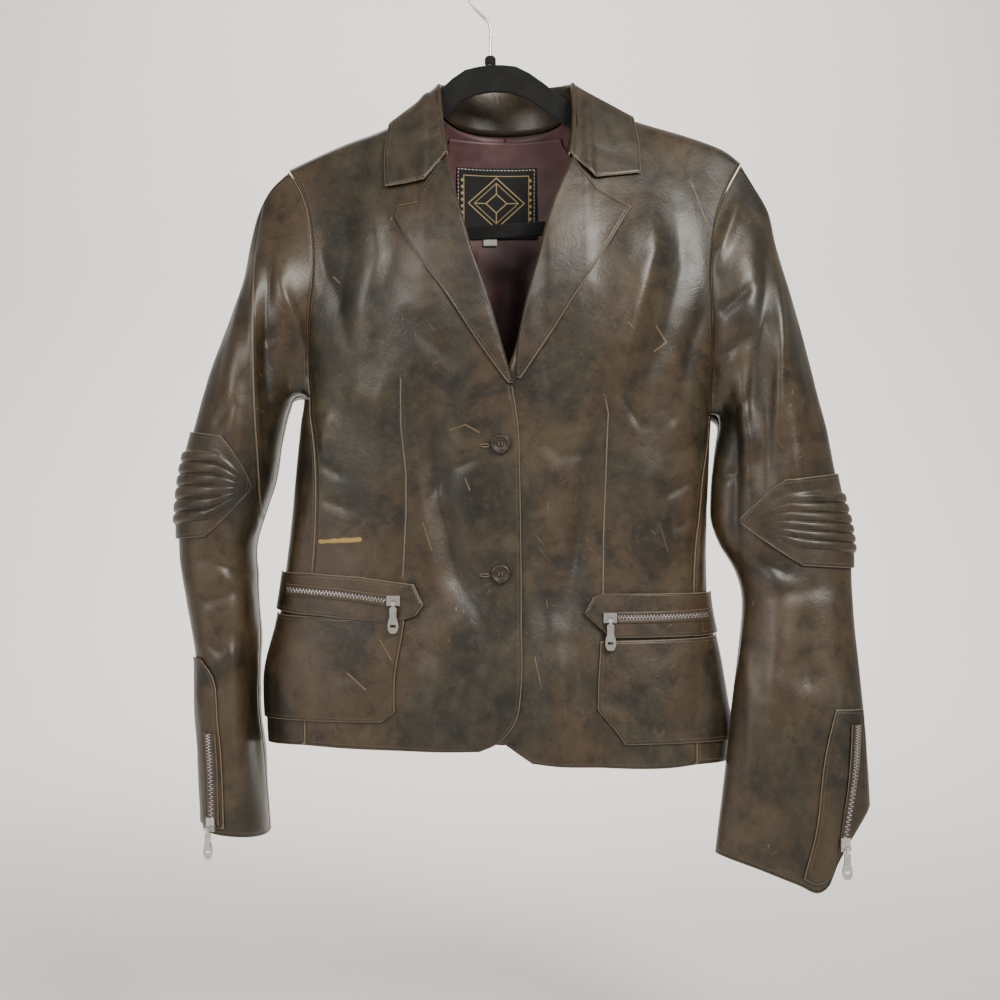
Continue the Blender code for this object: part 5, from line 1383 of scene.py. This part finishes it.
def woven_label():
    """Black woven ground with a lozenge, side columns of small lozenges and a dashed border."""
    finish, colours, place = begun("woven_label")
    x, _, z = finish.axes(place)
    x0, x1, z0, z1 = LABEL
    x, z = x - (x0 + x1) / 2, z - (z0 + z1) / 2
    half_x, half_z = (x1 - x0) / 2, (z1 - z0) / 2
    edge = (half_x - abs(x)).least(half_z - abs(z))
    gold = abs(edge - LABEL_FRAME).step(0.5, 0.2)
    for radius, width in LABEL_LOZENGES:
        ring = abs(abs(x) * 0.9 + abs(z) - radius).step(width, width * 0.4)
        gold = gold.most(ring)
    cross = abs(x).least(abs(z)).step(0.6, 0.25) * (abs(x) * 0.9 + abs(z)).step(19.5, 18.5)
    cross = cross * (abs(x) * 0.9 + abs(z)).step(8.5, 9.5)
    column = abs(abs(x) - 32.5) * 1.3 + abs(((z / 6.0).part() - 0.5) * 6.0)
    gold = gold.most(cross).most(column.step(2.2, 1.6) * abs(z).step(25.0, 24.0))
    dash = (abs(((x + z) / 3.4).part() - 0.5)).step(0.34, 0.26)
    stitch = abs(edge - LABEL_BORDER).step(0.55, 0.25) * dash
    threads = (x * 9.0).sine() * 0.5 + (z * 7.0).sine() * 0.5
    colour = finish.mix(gold * 0.85, colours.label_ground, colours.label_gold)
    colour = finish.mix(stitch, colour, colours.label_stitch)
    bump = finish.relief(threads * 0.4 + gold * 0.6 + stitch, 0.18)
    return finish.set(Base_Color=colour, Roughness=0.8, Normal=bump)


def woven_tab():
    finish, colours, place = begun("woven_tab")
    x, _, z = finish.axes(place)
    threads = (x * 8.0).sine() * (z * 8.0).sine()
    tone = finish.mix(threads.step(-0.6, 0.6), colours.tab_dark, colours.tab)
    return finish.set(Base_Color=tone, Roughness=0.85, Normal=finish.relief(threads, 0.1))


def zip_tape():
    finish, colours, place = begun("zip_tape_weave")
    x, _, z = finish.axes(place)
    threads = ((x + z) * 6.0).sine() * 0.5 + ((x - z) * 6.0).sine() * 0.5
    tone = finish.mix(finish.noise(place, 120.0).step(0.3, 0.7), colours.tape, colours.tape_dark)
    return finish.set(Base_Color=tone, Roughness=0.82, Normal=finish.relief(threads, 0.12))


def plated(name, worn=0.35):
    """Nickel plate that has dulled in places."""
    finish, colours, place = begun(name)
    dull = finish.noise(place, 140.0, 4.0, 0.6).step(0.45, 0.75) * worn
    fine = finish.noise(finish.stretched(place, (1.0, 1.0, 0.3)), 1400.0, 2.0)
    tone = finish.mix(dull, colours.metal, colours.metal_dull)
    rough = 0.20 + dull * 0.35 + fine * 0.08
    return finish.set(Base_Color=tone, Metallic=1.0, Roughness=rough, Normal=finish.relief(fine, 0.02))


def horn():
    finish, colours, place = begun("brown_horn")
    band = finish.noise(finish.stretched(place, (1.0, 1.0, 3.0)), 130.0, 3.0, 0.6, 1.5)
    tone = finish.mix(band.step(0.4, 0.65), colours.horn, colours.horn_light)
    fine = finish.noise(place, 900.0)
    return finish.set(Base_Color=tone, Roughness=0.3 + fine * 0.15, Normal=finish.relief(fine, 0.03))


def velvet():
    finish, colours, place = begun("flocked_velvet")
    pile = finish.noise(place, 1500.0, 2.0, 0.6)
    tone = finish.mix(finish.noise(place, 60.0).step(0.4, 0.75), colours.velvet, colours.velvet_worn)
    return finish.set(Base_Color=tone, Roughness=0.95, Normal=finish.relief(pile, 0.25), Sheen_Weight=0.12,
                      Sheen_Roughness=0.4)


def sewing_thread():
    finish, colours, place = begun("sewing_thread")
    x, y, z = finish.axes(place)
    ply = ((x + z * 1.3 + y) * 9.0).sine()
    tone = finish.mix(ply.step(-0.7, 0.7), colours.thread, colours.cut_edge)
    return finish.set(Base_Color=tone, Roughness=0.7, Normal=finish.relief(ply, 0.12))


FINISHES = {
    "hide_front": lambda name: leather(name, marked=True),
    "hide": lambda name: leather(name, red=0.01),
    # The lapel and rib copies are the same hide with painted shade
    "hide_lapel": lambda name: leather(name, shade=0.88),
    "hide_rib": lambda name: leather(name, shade=0.92, ribbed=True),
    "hide_patch": lambda name: leather(name, red=0.05, marked=True),
    "raw_edge": lambda name: raw_edge(),
    "satin_lining": lambda name: satin_lining(),
    "woven_label": lambda name: woven_label(),
    "woven_tab": lambda name: woven_tab(),
    "zip_tape_weave": lambda name: zip_tape(),
    "nickel_plate": lambda name: plated(name),
    "zip_teeth": lambda name: plated(name, 0.6),
    "hook_wire": lambda name: plated(name, 0.15),
    "brown_horn": lambda name: horn(),
    "flocked_velvet": lambda name: velvet(),
    "sewing_thread": lambda name: sewing_thread(),
}


def finish_of(name):
    """A finish by name, made the first time that it is asked for."""
    return bpy.data.materials.get(name) or FINISHES[name](name)


def rings_mesh(name, rings, closed=True):
    """A tube-like mesh from equal rings of points, in millimetres, with its ends filled."""
    mesh = bmesh.new()
    rows = [[mesh.verts.new(Vector(point) * MM) for point in ring] for ring in rings]
    count = len(rows[0])
    for first, second in zip(rows, rows[1:]):
        for i in range(count):
            j = (i + 1) % count
            mesh.faces.new((first[i], first[j], second[j], second[i]))
    if closed:
        mesh.faces.new(rows[0][::-1])
        mesh.faces.new(rows[-1])
    else:
        for i in range(count):
            j = (i + 1) % count
            mesh.faces.new((rows[-1][i], rows[-1][j], rows[0][j], rows[0][i]))
    bmesh.ops.recalc_face_normals(mesh, faces=mesh.faces)
    data = bpy.data.meshes.new(name)
    mesh.to_mesh(data)
    mesh.free()
    data.shade_smooth()
    return data


def wire_curve(name, points, radius, resolution, look):
    """A round wire through the points, in millimetres."""
    curve = bpy.data.curves.new(name, "CURVE")
    curve.dimensions = "3D"
    curve.bevel_depth = radius * MM
    curve.bevel_resolution = resolution
    spline = curve.splines.new("BEZIER")
    spline.bezier_points.add(len(points) - 1)
    for knot, point in zip(spline.bezier_points, points):
        knot.co = Vector(point) * MM
        knot.handle_left_type = knot.handle_right_type = "AUTO"
    curve.materials.append(finish_of(look))
    return curve


def zip_line(spot, start, end, count):
    """Places along a zip, with the directions along it, across it and out of it, all as unit vectors."""
    v = np.linspace(start, end, count)
    middle = spot(v)
    along = np.gradient(middle, axis=0)
    along /= np.linalg.norm(along, axis=1)[:, None]
    out = spot(v, 0.0, 1.0) - middle
    out -= (out * along).sum(1)[:, None] * along
    out /= np.linalg.norm(out, axis=1)[:, None]
    return middle, along, np.cross(along, out), out


def zip_teeth(name, spot, length, half):
    """Two rows of metal teeth that mesh along the middle of the tape."""
    sizes = bpy.context.scene.jacket_sizes
    pitch = sizes.tooth_pitch / MM
    count = int(length / pitch)
    rows = zip_line(spot, 0.01, 0.99, count)
    mesh = bmesh.new()
    for i, (middle, along, side, out) in enumerate(zip(*rows)):
        hand = 1 if i % 2 else -1
        turn = Matrix((along, side, out)).transposed().to_4x4()
        shape = Matrix.Diagonal((pitch * 0.62, half * 1.25, 1.0, 1.0))
        centre = Vector(middle + hand * side * half * 0.42 + out * TEETH_RISE)
        made = bmesh.ops.create_cube(mesh, size=MM, matrix=Matrix.Translation(centre * MM) @ turn @ shape)
        bmesh.ops.bevel(mesh, geom=list({e for v in made["verts"] for e in v.link_edges}), offset=0.12 * MM,
                        segments=1, affect="EDGES")
    data = bpy.data.meshes.new(name)
    mesh.to_mesh(data)
    mesh.free()
    data.materials.append(finish_of("zip_teeth"))
    return add(name, data)


def zip_lip(spot, near, far, side):
    """A folded edge of hide along one side of a zip."""
    s, v = cells_of("lip")
    aside = side * (near + (far - near) * s)
    return Cloth(spot(v, aside, ZIP_LAP + LIP_RISE * np.sin(math.pi * s) ** 0.7), "lr")


def zip_cloth(spot, half):
    s, v = cells_of("tape")
    return Cloth(spot(v, half * (2 * s - 1), 0.0), "")


class BlazerSizes(bpy.types.PropertyGroup):
    """Sizes of the jacket's details."""

    stitch_pitch: bpy.props.FloatProperty(
        name="Stitch pitch", description="Length of one stitch and its gap", default=0.0032, min=0.001,
        max=0.01, unit="LENGTH", precision=4)
    stitch_inset: bpy.props.FloatProperty(
        name="Stitch inset", description="How far a seam's stitches lie from the cut edge", default=0.0034,
        min=0.001, max=0.01, unit="LENGTH", precision=4)
    grain_depth: bpy.props.FloatProperty(
        name="Grain depth", description="Depth of the hide's pores", default=0.00005, min=0.0, max=0.0005,
        unit="LENGTH", precision=5)
    tooth_pitch: bpy.props.FloatProperty(
        name="Tooth pitch", description="Distance between two zip teeth", default=0.0016, min=0.0005,
        max=0.004, unit="LENGTH", precision=5)
    camera_lens: bpy.props.FloatProperty(
        name="Camera lens", description="Focal length in millimetres", default=60.0, min=10.0, max=200.0)


def colour_property(name, description, default):
    return bpy.props.FloatVectorProperty(name=name, description=description, default=default, size=3,
                                         subtype="COLOR", min=0.0, max=1.0)


class BlazerColours(bpy.types.PropertyGroup):
    """Colours of the jacket and its hanger."""

    olive: colour_property("Olive hide", "The hide's main colour", (0.0220, 0.0178, 0.0100))
    russet: colour_property("Russet hide", "The hide where it is redder", (0.043, 0.0250, 0.0115))
    # Dark hide tone for random patches, and also the painted shade in creases, grooves, pleat gaps and the
    # darker lapel and elbow copies
    deep_tone_and_shade: colour_property("Deep hide", "The hide in its hollows", (0.0070, 0.0058, 0.0040))
    worn: colour_property("Worn hide", "The hide where it has paled", (0.072, 0.053, 0.028))
    scratch: colour_property("Scratch", "Fine scratches and nicks", (0.26, 0.165, 0.075))
    mustard: colour_property("Mustard", "The broad scuff above the pocket", (0.36, 0.23, 0.06))
    cut_edge: colour_property("Cut edge", "The hide's pale core", (0.22, 0.165, 0.105))
    thread: colour_property("Thread", "The sewing thread", (0.12, 0.085, 0.052))
    lining: colour_property("Lining", "The satin lining", (0.115, 0.050, 0.052))
    lining_dark: colour_property("Lining shade", "The lining in its folds", (0.055, 0.023, 0.026))
    tape: colour_property("Zip tape", "The woven tape of the zips", (0.13, 0.095, 0.10))
    tape_dark: colour_property("Zip tape shade", "The tape's darker threads", (0.065, 0.042, 0.045))
    metal: colour_property("Nickel", "Zips, pulls and the hook", (0.72, 0.70, 0.67))
    metal_dull: colour_property("Dull nickel", "The plate where it has dulled", (0.38, 0.36, 0.34))
    velvet: colour_property("Velvet", "The hanger's flock", (0.0035, 0.0035, 0.004))
    velvet_worn: colour_property("Velvet bloom", "The flock where it is brushed", (0.008, 0.008, 0.009))
    label_ground: colour_property("Label ground", "The label's weave", (0.010, 0.009, 0.010))
    label_gold: colour_property("Label ornament", "The label's gold thread", (0.52, 0.40, 0.20))
    label_stitch: colour_property("Label stitch", "The stitches round the label", (0.55, 0.50, 0.46))
    tab: colour_property("Size tab", "The size tab's weave", (0.66, 0.63, 0.56))
    tab_dark: colour_property("Size tab shade", "The weave between its threads", (0.52, 0.49, 0.42))
    horn: colour_property("Horn", "The buttons", (0.016, 0.011, 0.008))
    horn_light: colour_property("Light horn", "The buttons' paler bands", (0.045, 0.028, 0.018))
    backdrop: colour_property("Backdrop", "The floor and the wall of the stage", (0.86, 0.85, 0.835))
    backdrop_shade: colour_property("Backdrop shade", "The paper where it is duller", (0.82, 0.81, 0.80))


class JACKET_OT_fronts(bpy.types.Operator):
    """Makes the two fronts with their creases, darts and marks"""

    bl_idname = "jacket.fronts"
    bl_label = "Fronts"

    def execute(self, context):
        looks = [finish_of("hide_front"), finish_of("raw_edge"), finish_of("satin_lining")]
        for side in ("right", "left"):
            front_cloth(side).dress(f"hide_front_{side}", looks, f"front_{side}", "brown_hide", "hung",
                                    ["hanger"], flip=side == "right")
        return {"FINISHED"}


class JACKET_OT_backs(bpy.types.Operator):
    """Makes the backs and the side panels"""

    bl_idname = "jacket.backs"
    bl_label = "Backs and sides"

    def execute(self, context):
        looks = [finish_of("hide"), finish_of("raw_edge"), finish_of("satin_lining")]
        for side in ("right", "left"):
            for kind, maker in (("back", back_cloth), ("side", side_cloth)):
                maker(side).dress(f"hide_{kind}_{side}", looks, f"{kind}_{side}", "brown_hide", "hung",
                                  ["hanger"], flip=(kind == "side") == (side == "right"))
        return {"FINISHED"}


class JACKET_OT_sleeves(bpy.types.Operator):
    """Makes the sleeves and their ribbed elbows"""

    bl_idname = "jacket.sleeves"
    bl_label = "Sleeves"

    def execute(self, context):
        edge, lining = finish_of("raw_edge"), finish_of("satin_lining")
        for side in ("right", "left"):
            sleeve = Sleeve(side)
            right = side == "right"
            panels = [f"hide_front_{side}", f"hide_back_{side}"]
            for half in ("upper", "under"):
                looks, node = [finish_of("hide"), edge, lining], f"sleeve_{side}_{half}"
                upper = half == "upper"
                sleeve_cloth(sleeve, upper).dress(f"hide_{node}", looks, node, "brown_hide", "hung", panels,
                                                  flip=upper != right)
            elbow_cloth(side, sleeve).dress(
                f"ribbed_elbow_{side}", [finish_of("hide_rib"), edge], f"elbow_{side}", "brown_hide_trim",
                "laid", [f"hide_sleeve_{side}_upper"], TRIM, not right)
        return {"FINISHED"}


class JACKET_OT_collar(bpy.types.Operator):
    """Makes the collar and the lapels"""

    bl_idname = "jacket.collar"
    bl_label = "Collar and lapels"

    def execute(self, context):
        looks = [finish_of("hide_lapel"), finish_of("raw_edge")]
        collar_cloth().dress("folded_collar", looks, "collar", "brown_hide", "folded",
                             ["hide_front_right", "hide_front_left", "hide_back_right"])
        for side in ("right", "left"):
            lapel_cloth(side).dress(f"turned_lapel_{side}", looks, f"lapel_{side}", "brown_hide_trim",
                                    "folded", [f"hide_front_{side}"], flip=side == "right")
        return {"FINISHED"}


class JACKET_OT_pockets(bpy.types.Operator):
    """Makes the patch pockets, their bands and their zips"""

    bl_idname = "jacket.pockets"
    bl_label = "Pockets"

    def execute(self, context):
        looks = [finish_of("hide_patch"), finish_of("raw_edge")]
        for side in ("right", "left"):
            right = side == "right"
            laid_cloth("patch", PATCH[side], POCKET_LEVEL).dress(
                f"patch_pocket_{side}", looks, f"pocket_{side}", "brown_hide_trim", "laid",
                [f"hide_front_{side}"], TRIM, right)
            cloth = laid_cloth("band", BAND[side], BAND_LEVEL)
            made = cloth.make(f"pocket_top_{side}", looks, TRIM, right)
            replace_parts(made, f"pocket_band_{side}")
            spot = pocket_line(side, BAND_LEVEL + TRIM + ZIP_LAP)
            zipped = make_zip(f"pocket_{side}", spot, POCKET_ZIP_HALF, f"zip_pocket_{side}")
            cloth.declare(made, "laid", [f"patch_pocket_{side}"], zipped)
        return {"FINISHED"}


def make_zip(name, spot, half, node):
    """A tape, its teeth and its two lips, which stand for one node."""
    length = np.linalg.norm(np.diff(spot(even(40)), axis=0), axis=1).sum()
    tape = zip_cloth(spot, half).make(f"tape_{name}", [finish_of("zip_tape_weave")], TAPE_THICK)
    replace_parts(tape, node)
    made = [tape, zip_teeth(f"teeth_{name}", spot, length, half * TEETH_PART)]
    for side, label in ((1, "upper"), (-1, "lower")):
        lip = zip_lip(spot, half * LIP_NEAR, half * LIP_FAR, side)
        lip = lip.make(f"lip_{name}_{label}", [finish_of("hide_patch"), finish_of("raw_edge")], LIP_THICK)
        made.append(lip)
    return made


class JACKET_OT_cuffs(bpy.types.Operator):
    """Makes the cuffs' plackets and their short zips"""

    bl_idname = "jacket.cuffs"
    bl_label = "Cuff zips"

    def execute(self, context):
        for side in ("right", "left"):
            sleeve = Sleeve(side)
            cloth = placket_cloth(side, sleeve)
            made = cloth.make(f"cuff_placket_{side}", [finish_of("hide_patch"), finish_of("raw_edge")], TRIM,
                              side == "right")
            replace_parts(made, f"placket_{side}")
            spot = cuff_line(side, sleeve)
            zipped = make_zip(f"cuff_{side}", spot, CUFF_ZIP_HALF, f"zip_cuff_{side}")
            cloth.declare(made, "laid", [f"hide_sleeve_{side}_upper"], zipped)
        return {"FINISHED"}


class JACKET_OT_buttons(bpy.types.Operator):
    """Makes the two buttons, their threads and the buttonholes"""

    bl_idname = "jacket.buttons"
    bl_label = "Buttons"

    def execute(self, context):
        for index, (x, z) in enumerate(BUTTON_SPOTS):
            spot = Vector(body(angle_at(np.array(x), z), np.array(z), LEATHER / 2))
            turns = even(BUTTON_TURNS, 0, 2 * math.pi)[:-1]
            rings = [[spot + Vector((r * math.cos(a), -h, r * math.sin(a))) for a in turns]
                     for r, h in BUTTON_CURVE]
            data = rings_mesh(f"turned_button_{index + 1}", rings)
            data.materials.append(finish_of("brown_horn"))
            made = add(data.name, data)
            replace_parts(made, f"button_{index + 1}")
            self.threads(index, spot)
            self.buttonhole(index, x, z)
        return {"FINISHED"}

    def threads(self, index, spot):
        """Two bars of thread between four sewn holes."""
        for number, across in enumerate(THREAD_SPOTS):
            bar = [(across, 3.2, -1.6), (across, 4.0, -1.3), (across * 0.9, 4.35, 0), (across, 4.0, 1.3),
                   (across, 3.2, 1.6)]
            points = [spot + Vector((dx, -out, dz)) for dx, out, dz in bar]
            name = f"button_thread_{index + 1}_{number}"
            curve = wire_curve(name, points, THREAD_RADIUS, 3, "sewing_thread")
            add(name, curve)

    def buttonhole(self, index, x, z):
        """A slit bound with thread, beside the button's edge."""
        left, right = BUTTONHOLE
        middle, half = (left + right) / 2, (right - left) / 2
        rings = []
        for turn in even(64, 0, 2 * math.pi)[:-1]:
            knot = 1 + 0.12 * math.cos(32 * turn)
            ring = []
            for around in even(8, 0, 2 * math.pi)[:-1]:
                reach = 1 + 0.75 * math.cos(around) * knot / half
                dx = half * math.cos(turn) * reach
                dz = 1.25 * math.sin(turn) + 0.7 * math.cos(around) * math.sin(turn) * knot
                hx, hz = middle + dx, z - 1.2 + dz
                rise = LEATHER / 2 + 0.1 + 0.55 * (1 + math.sin(around)) * knot
                ring.append(body(angle_at(np.array(hx), hz), np.array(hz), rise))
            rings.append(ring)
        data = rings_mesh(f"bound_buttonhole_{index + 1}", rings, closed=False)
        data.materials.append(finish_of("sewing_thread"))
        add(data.name, data)


class JACKET_OT_lining(bpy.types.Operator):
    """Makes the lining, the label and the size tab"""

    bl_idname = "jacket.lining"
    bl_label = "Lining and label"

    def execute(self, context):
        cloth = lining_cloth()
        made = cloth.make("satin_back_lining", [finish_of("satin_lining")], LINING_THICK)
        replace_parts(made, "lining_back")
        tab = tab_cloth("size_tab", SIZE_TAB, 0.1).make("woven_size_tab", [finish_of("woven_tab")], TAB_THICK)
        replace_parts(tab, "size_tab")
        cloth.declare(made, "hung", ["hide_back_right", "hide_back_left"], [tab])
        tab_cloth("label", LABEL, 0.5).dress("woven_neck_label", [finish_of("woven_label")], "label",
                                             "black_label", "laid", ["satin_back_lining"], LINING_THICK)
        return {"FINISHED"}


class JACKET_OT_hanger(bpy.types.Operator):
    """Makes the hook's wire and finishes the hanger and the zips' metal"""

    bl_idname = "jacket.hanger"
    bl_label = "Hanger and metal"

    def execute(self, context):
        centre = HOOK_WIRE - HOOK_RADIUS
        points = [(x, 0, z) for x, z in HOOK_STEM]
        for turn in np.radians(even(24, *HOOK_BOW)):
            points.append((HOOK_RADIUS * math.cos(turn), 0, centre + HOOK_RADIUS * math.sin(turn)))
        curve = wire_curve("bent_hook", points, HOOK_WIRE, 6, "hook_wire")
        curve.use_fill_caps = True
        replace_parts(add("bent_hook", curve), "hook")
        for name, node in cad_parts.items():
            if name in ("hanger", "hook_socket"):
                self.cover(node, "flocked_velvet")
            if name.startswith(("slider_", "pull_")):
                self.cover(node, "nickel_plate")
        return {"FINISHED"}

    def cover(self, node, name):
        shown = node if isinstance(node, bpy.types.Object) else bpy.data.objects[node]
        for slot in shown.material_slots:
            slot.material = finish_of(name)


class JACKET_OT_stage(bpy.types.Operator):
    """Makes the floor, the lights and the camera"""

    bl_idname = "jacket.stage"
    bl_label = "Stage"

    def execute(self, context):
        self.floor()
        for lamp in LAMPS:
            self.lamp(*lamp)
        world = bpy.data.worlds.new("Studio")
        context.scene.world = world
        world.use_nodes = True
        background = world.node_tree.nodes["Background"]
        background.inputs["Color"].default_value = (*DAYLIGHT, 1)
        background.inputs["Strength"].default_value = SKY_STRENGTH
        camera = bpy.data.objects.new("Camera", bpy.data.cameras.new("Camera"))
        context.scene.collection.objects.link(camera)
        camera.location = CAMERA_PLACE
        camera.rotation_euler = (math.pi / 2, 0, 0)
        camera.data.lens = context.scene.jacket_sizes.camera_lens
        camera.data.clip_end = 50
        context.scene.camera = camera
        return {"FINISHED"}

    def floor(self):
        """A pale floor that sweeps up into a wall far behind."""
        profile = [(-6.0, STAGE_FLOOR), (STAGE_WALL - STAGE_SWEEP, STAGE_FLOOR)]
        for turn in even(16, -math.pi / 2, 0)[1:]:
            profile.append((STAGE_WALL - STAGE_SWEEP + STAGE_SWEEP * math.cos(turn),
                            STAGE_FLOOR + STAGE_SWEEP * (1 + math.sin(turn))))
        profile.append((STAGE_WALL, 5.0))
        mesh = bmesh.new()
        rows = [[mesh.verts.new((x, y, z)) for x in (-8.0, 8.0)] for y, z in profile]
        for low, high in zip(rows, rows[1:]):
            mesh.faces.new((low[0], low[1], high[1], high[0]))
        data = bpy.data.meshes.new("studio_sweep")
        mesh.to_mesh(data)
        mesh.free()
        data.shade_smooth()
        finish, colours, place = begun("studio_paper")
        tone = finish.mix(finish.noise(place, 2.0).step(0.3, 0.7) * 0.25,
                          colours.backdrop, colours.backdrop_shade)
        data.materials.append(finish.set(Base_Color=tone, Roughness=0.9))
        made = bpy.data.objects.new("studio_sweep", data)
        bpy.context.scene.collection.objects.link(made)

    def lamp(self, name, place, target, size, energy):
        light = bpy.data.lights.new(name, "AREA")
        light.size = size
        light.energy = energy
        light.color = DAYLIGHT
        light.spread = math.radians(LAMP_SPREAD)
        made = bpy.data.objects.new(name, light)
        bpy.context.scene.collection.objects.link(made)
        made.location = place
        made.rotation_euler = (Vector(target) - Vector(place)).to_track_quat("-Z", "Y").to_euler()


OPERATORS = (JACKET_OT_stage, JACKET_OT_fronts, JACKET_OT_backs, JACKET_OT_sleeves, JACKET_OT_collar,
             JACKET_OT_pockets, JACKET_OT_cuffs, JACKET_OT_buttons, JACKET_OT_lining, JACKET_OT_hanger)


class JACKET_PT_panel(bpy.types.Panel):
    """Lists the jacket's sizes, its colours and its pieces"""

    bl_label = "Worn leather jacket"
    bl_idname = "JACKET_PT_panel"
    bl_space_type = "VIEW_3D"
    bl_region_type = "UI"
    bl_category = "Jacket"

    def draw(self, context):
        for group in (context.scene.jacket_sizes, context.scene.jacket_colours):
            box = self.layout.box()
            for name in group.bl_rna.properties.keys():
                if name not in ("rna_type", "name"):
                    box.prop(group, name)
        for operator in OPERATORS:
            self.layout.operator(operator.bl_idname)


CLASSES = (BlazerSizes, BlazerColours, *OPERATORS, JACKET_PT_panel)


def register():
    for cls in CLASSES:
        bpy.utils.register_class(cls)
    bpy.types.Scene.jacket_sizes = bpy.props.PointerProperty(type=BlazerSizes)
    bpy.types.Scene.jacket_colours = bpy.props.PointerProperty(type=BlazerColours)


def unregister():
    del bpy.types.Scene.jacket_colours
    del bpy.types.Scene.jacket_sizes
    for cls in reversed(CLASSES):
        bpy.utils.unregister_class(cls)


def main():
    register()
    bpy.ops.jacket.stage()
    bpy.ops.jacket.fronts()
    bpy.ops.jacket.backs()
    bpy.ops.jacket.sleeves()
    bpy.ops.jacket.collar()
    bpy.ops.jacket.pockets()
    bpy.ops.jacket.cuffs()
    bpy.ops.jacket.buttons()
    bpy.ops.jacket.lining()
    bpy.ops.jacket.hanger()


if __name__ == "__main__":
    main()
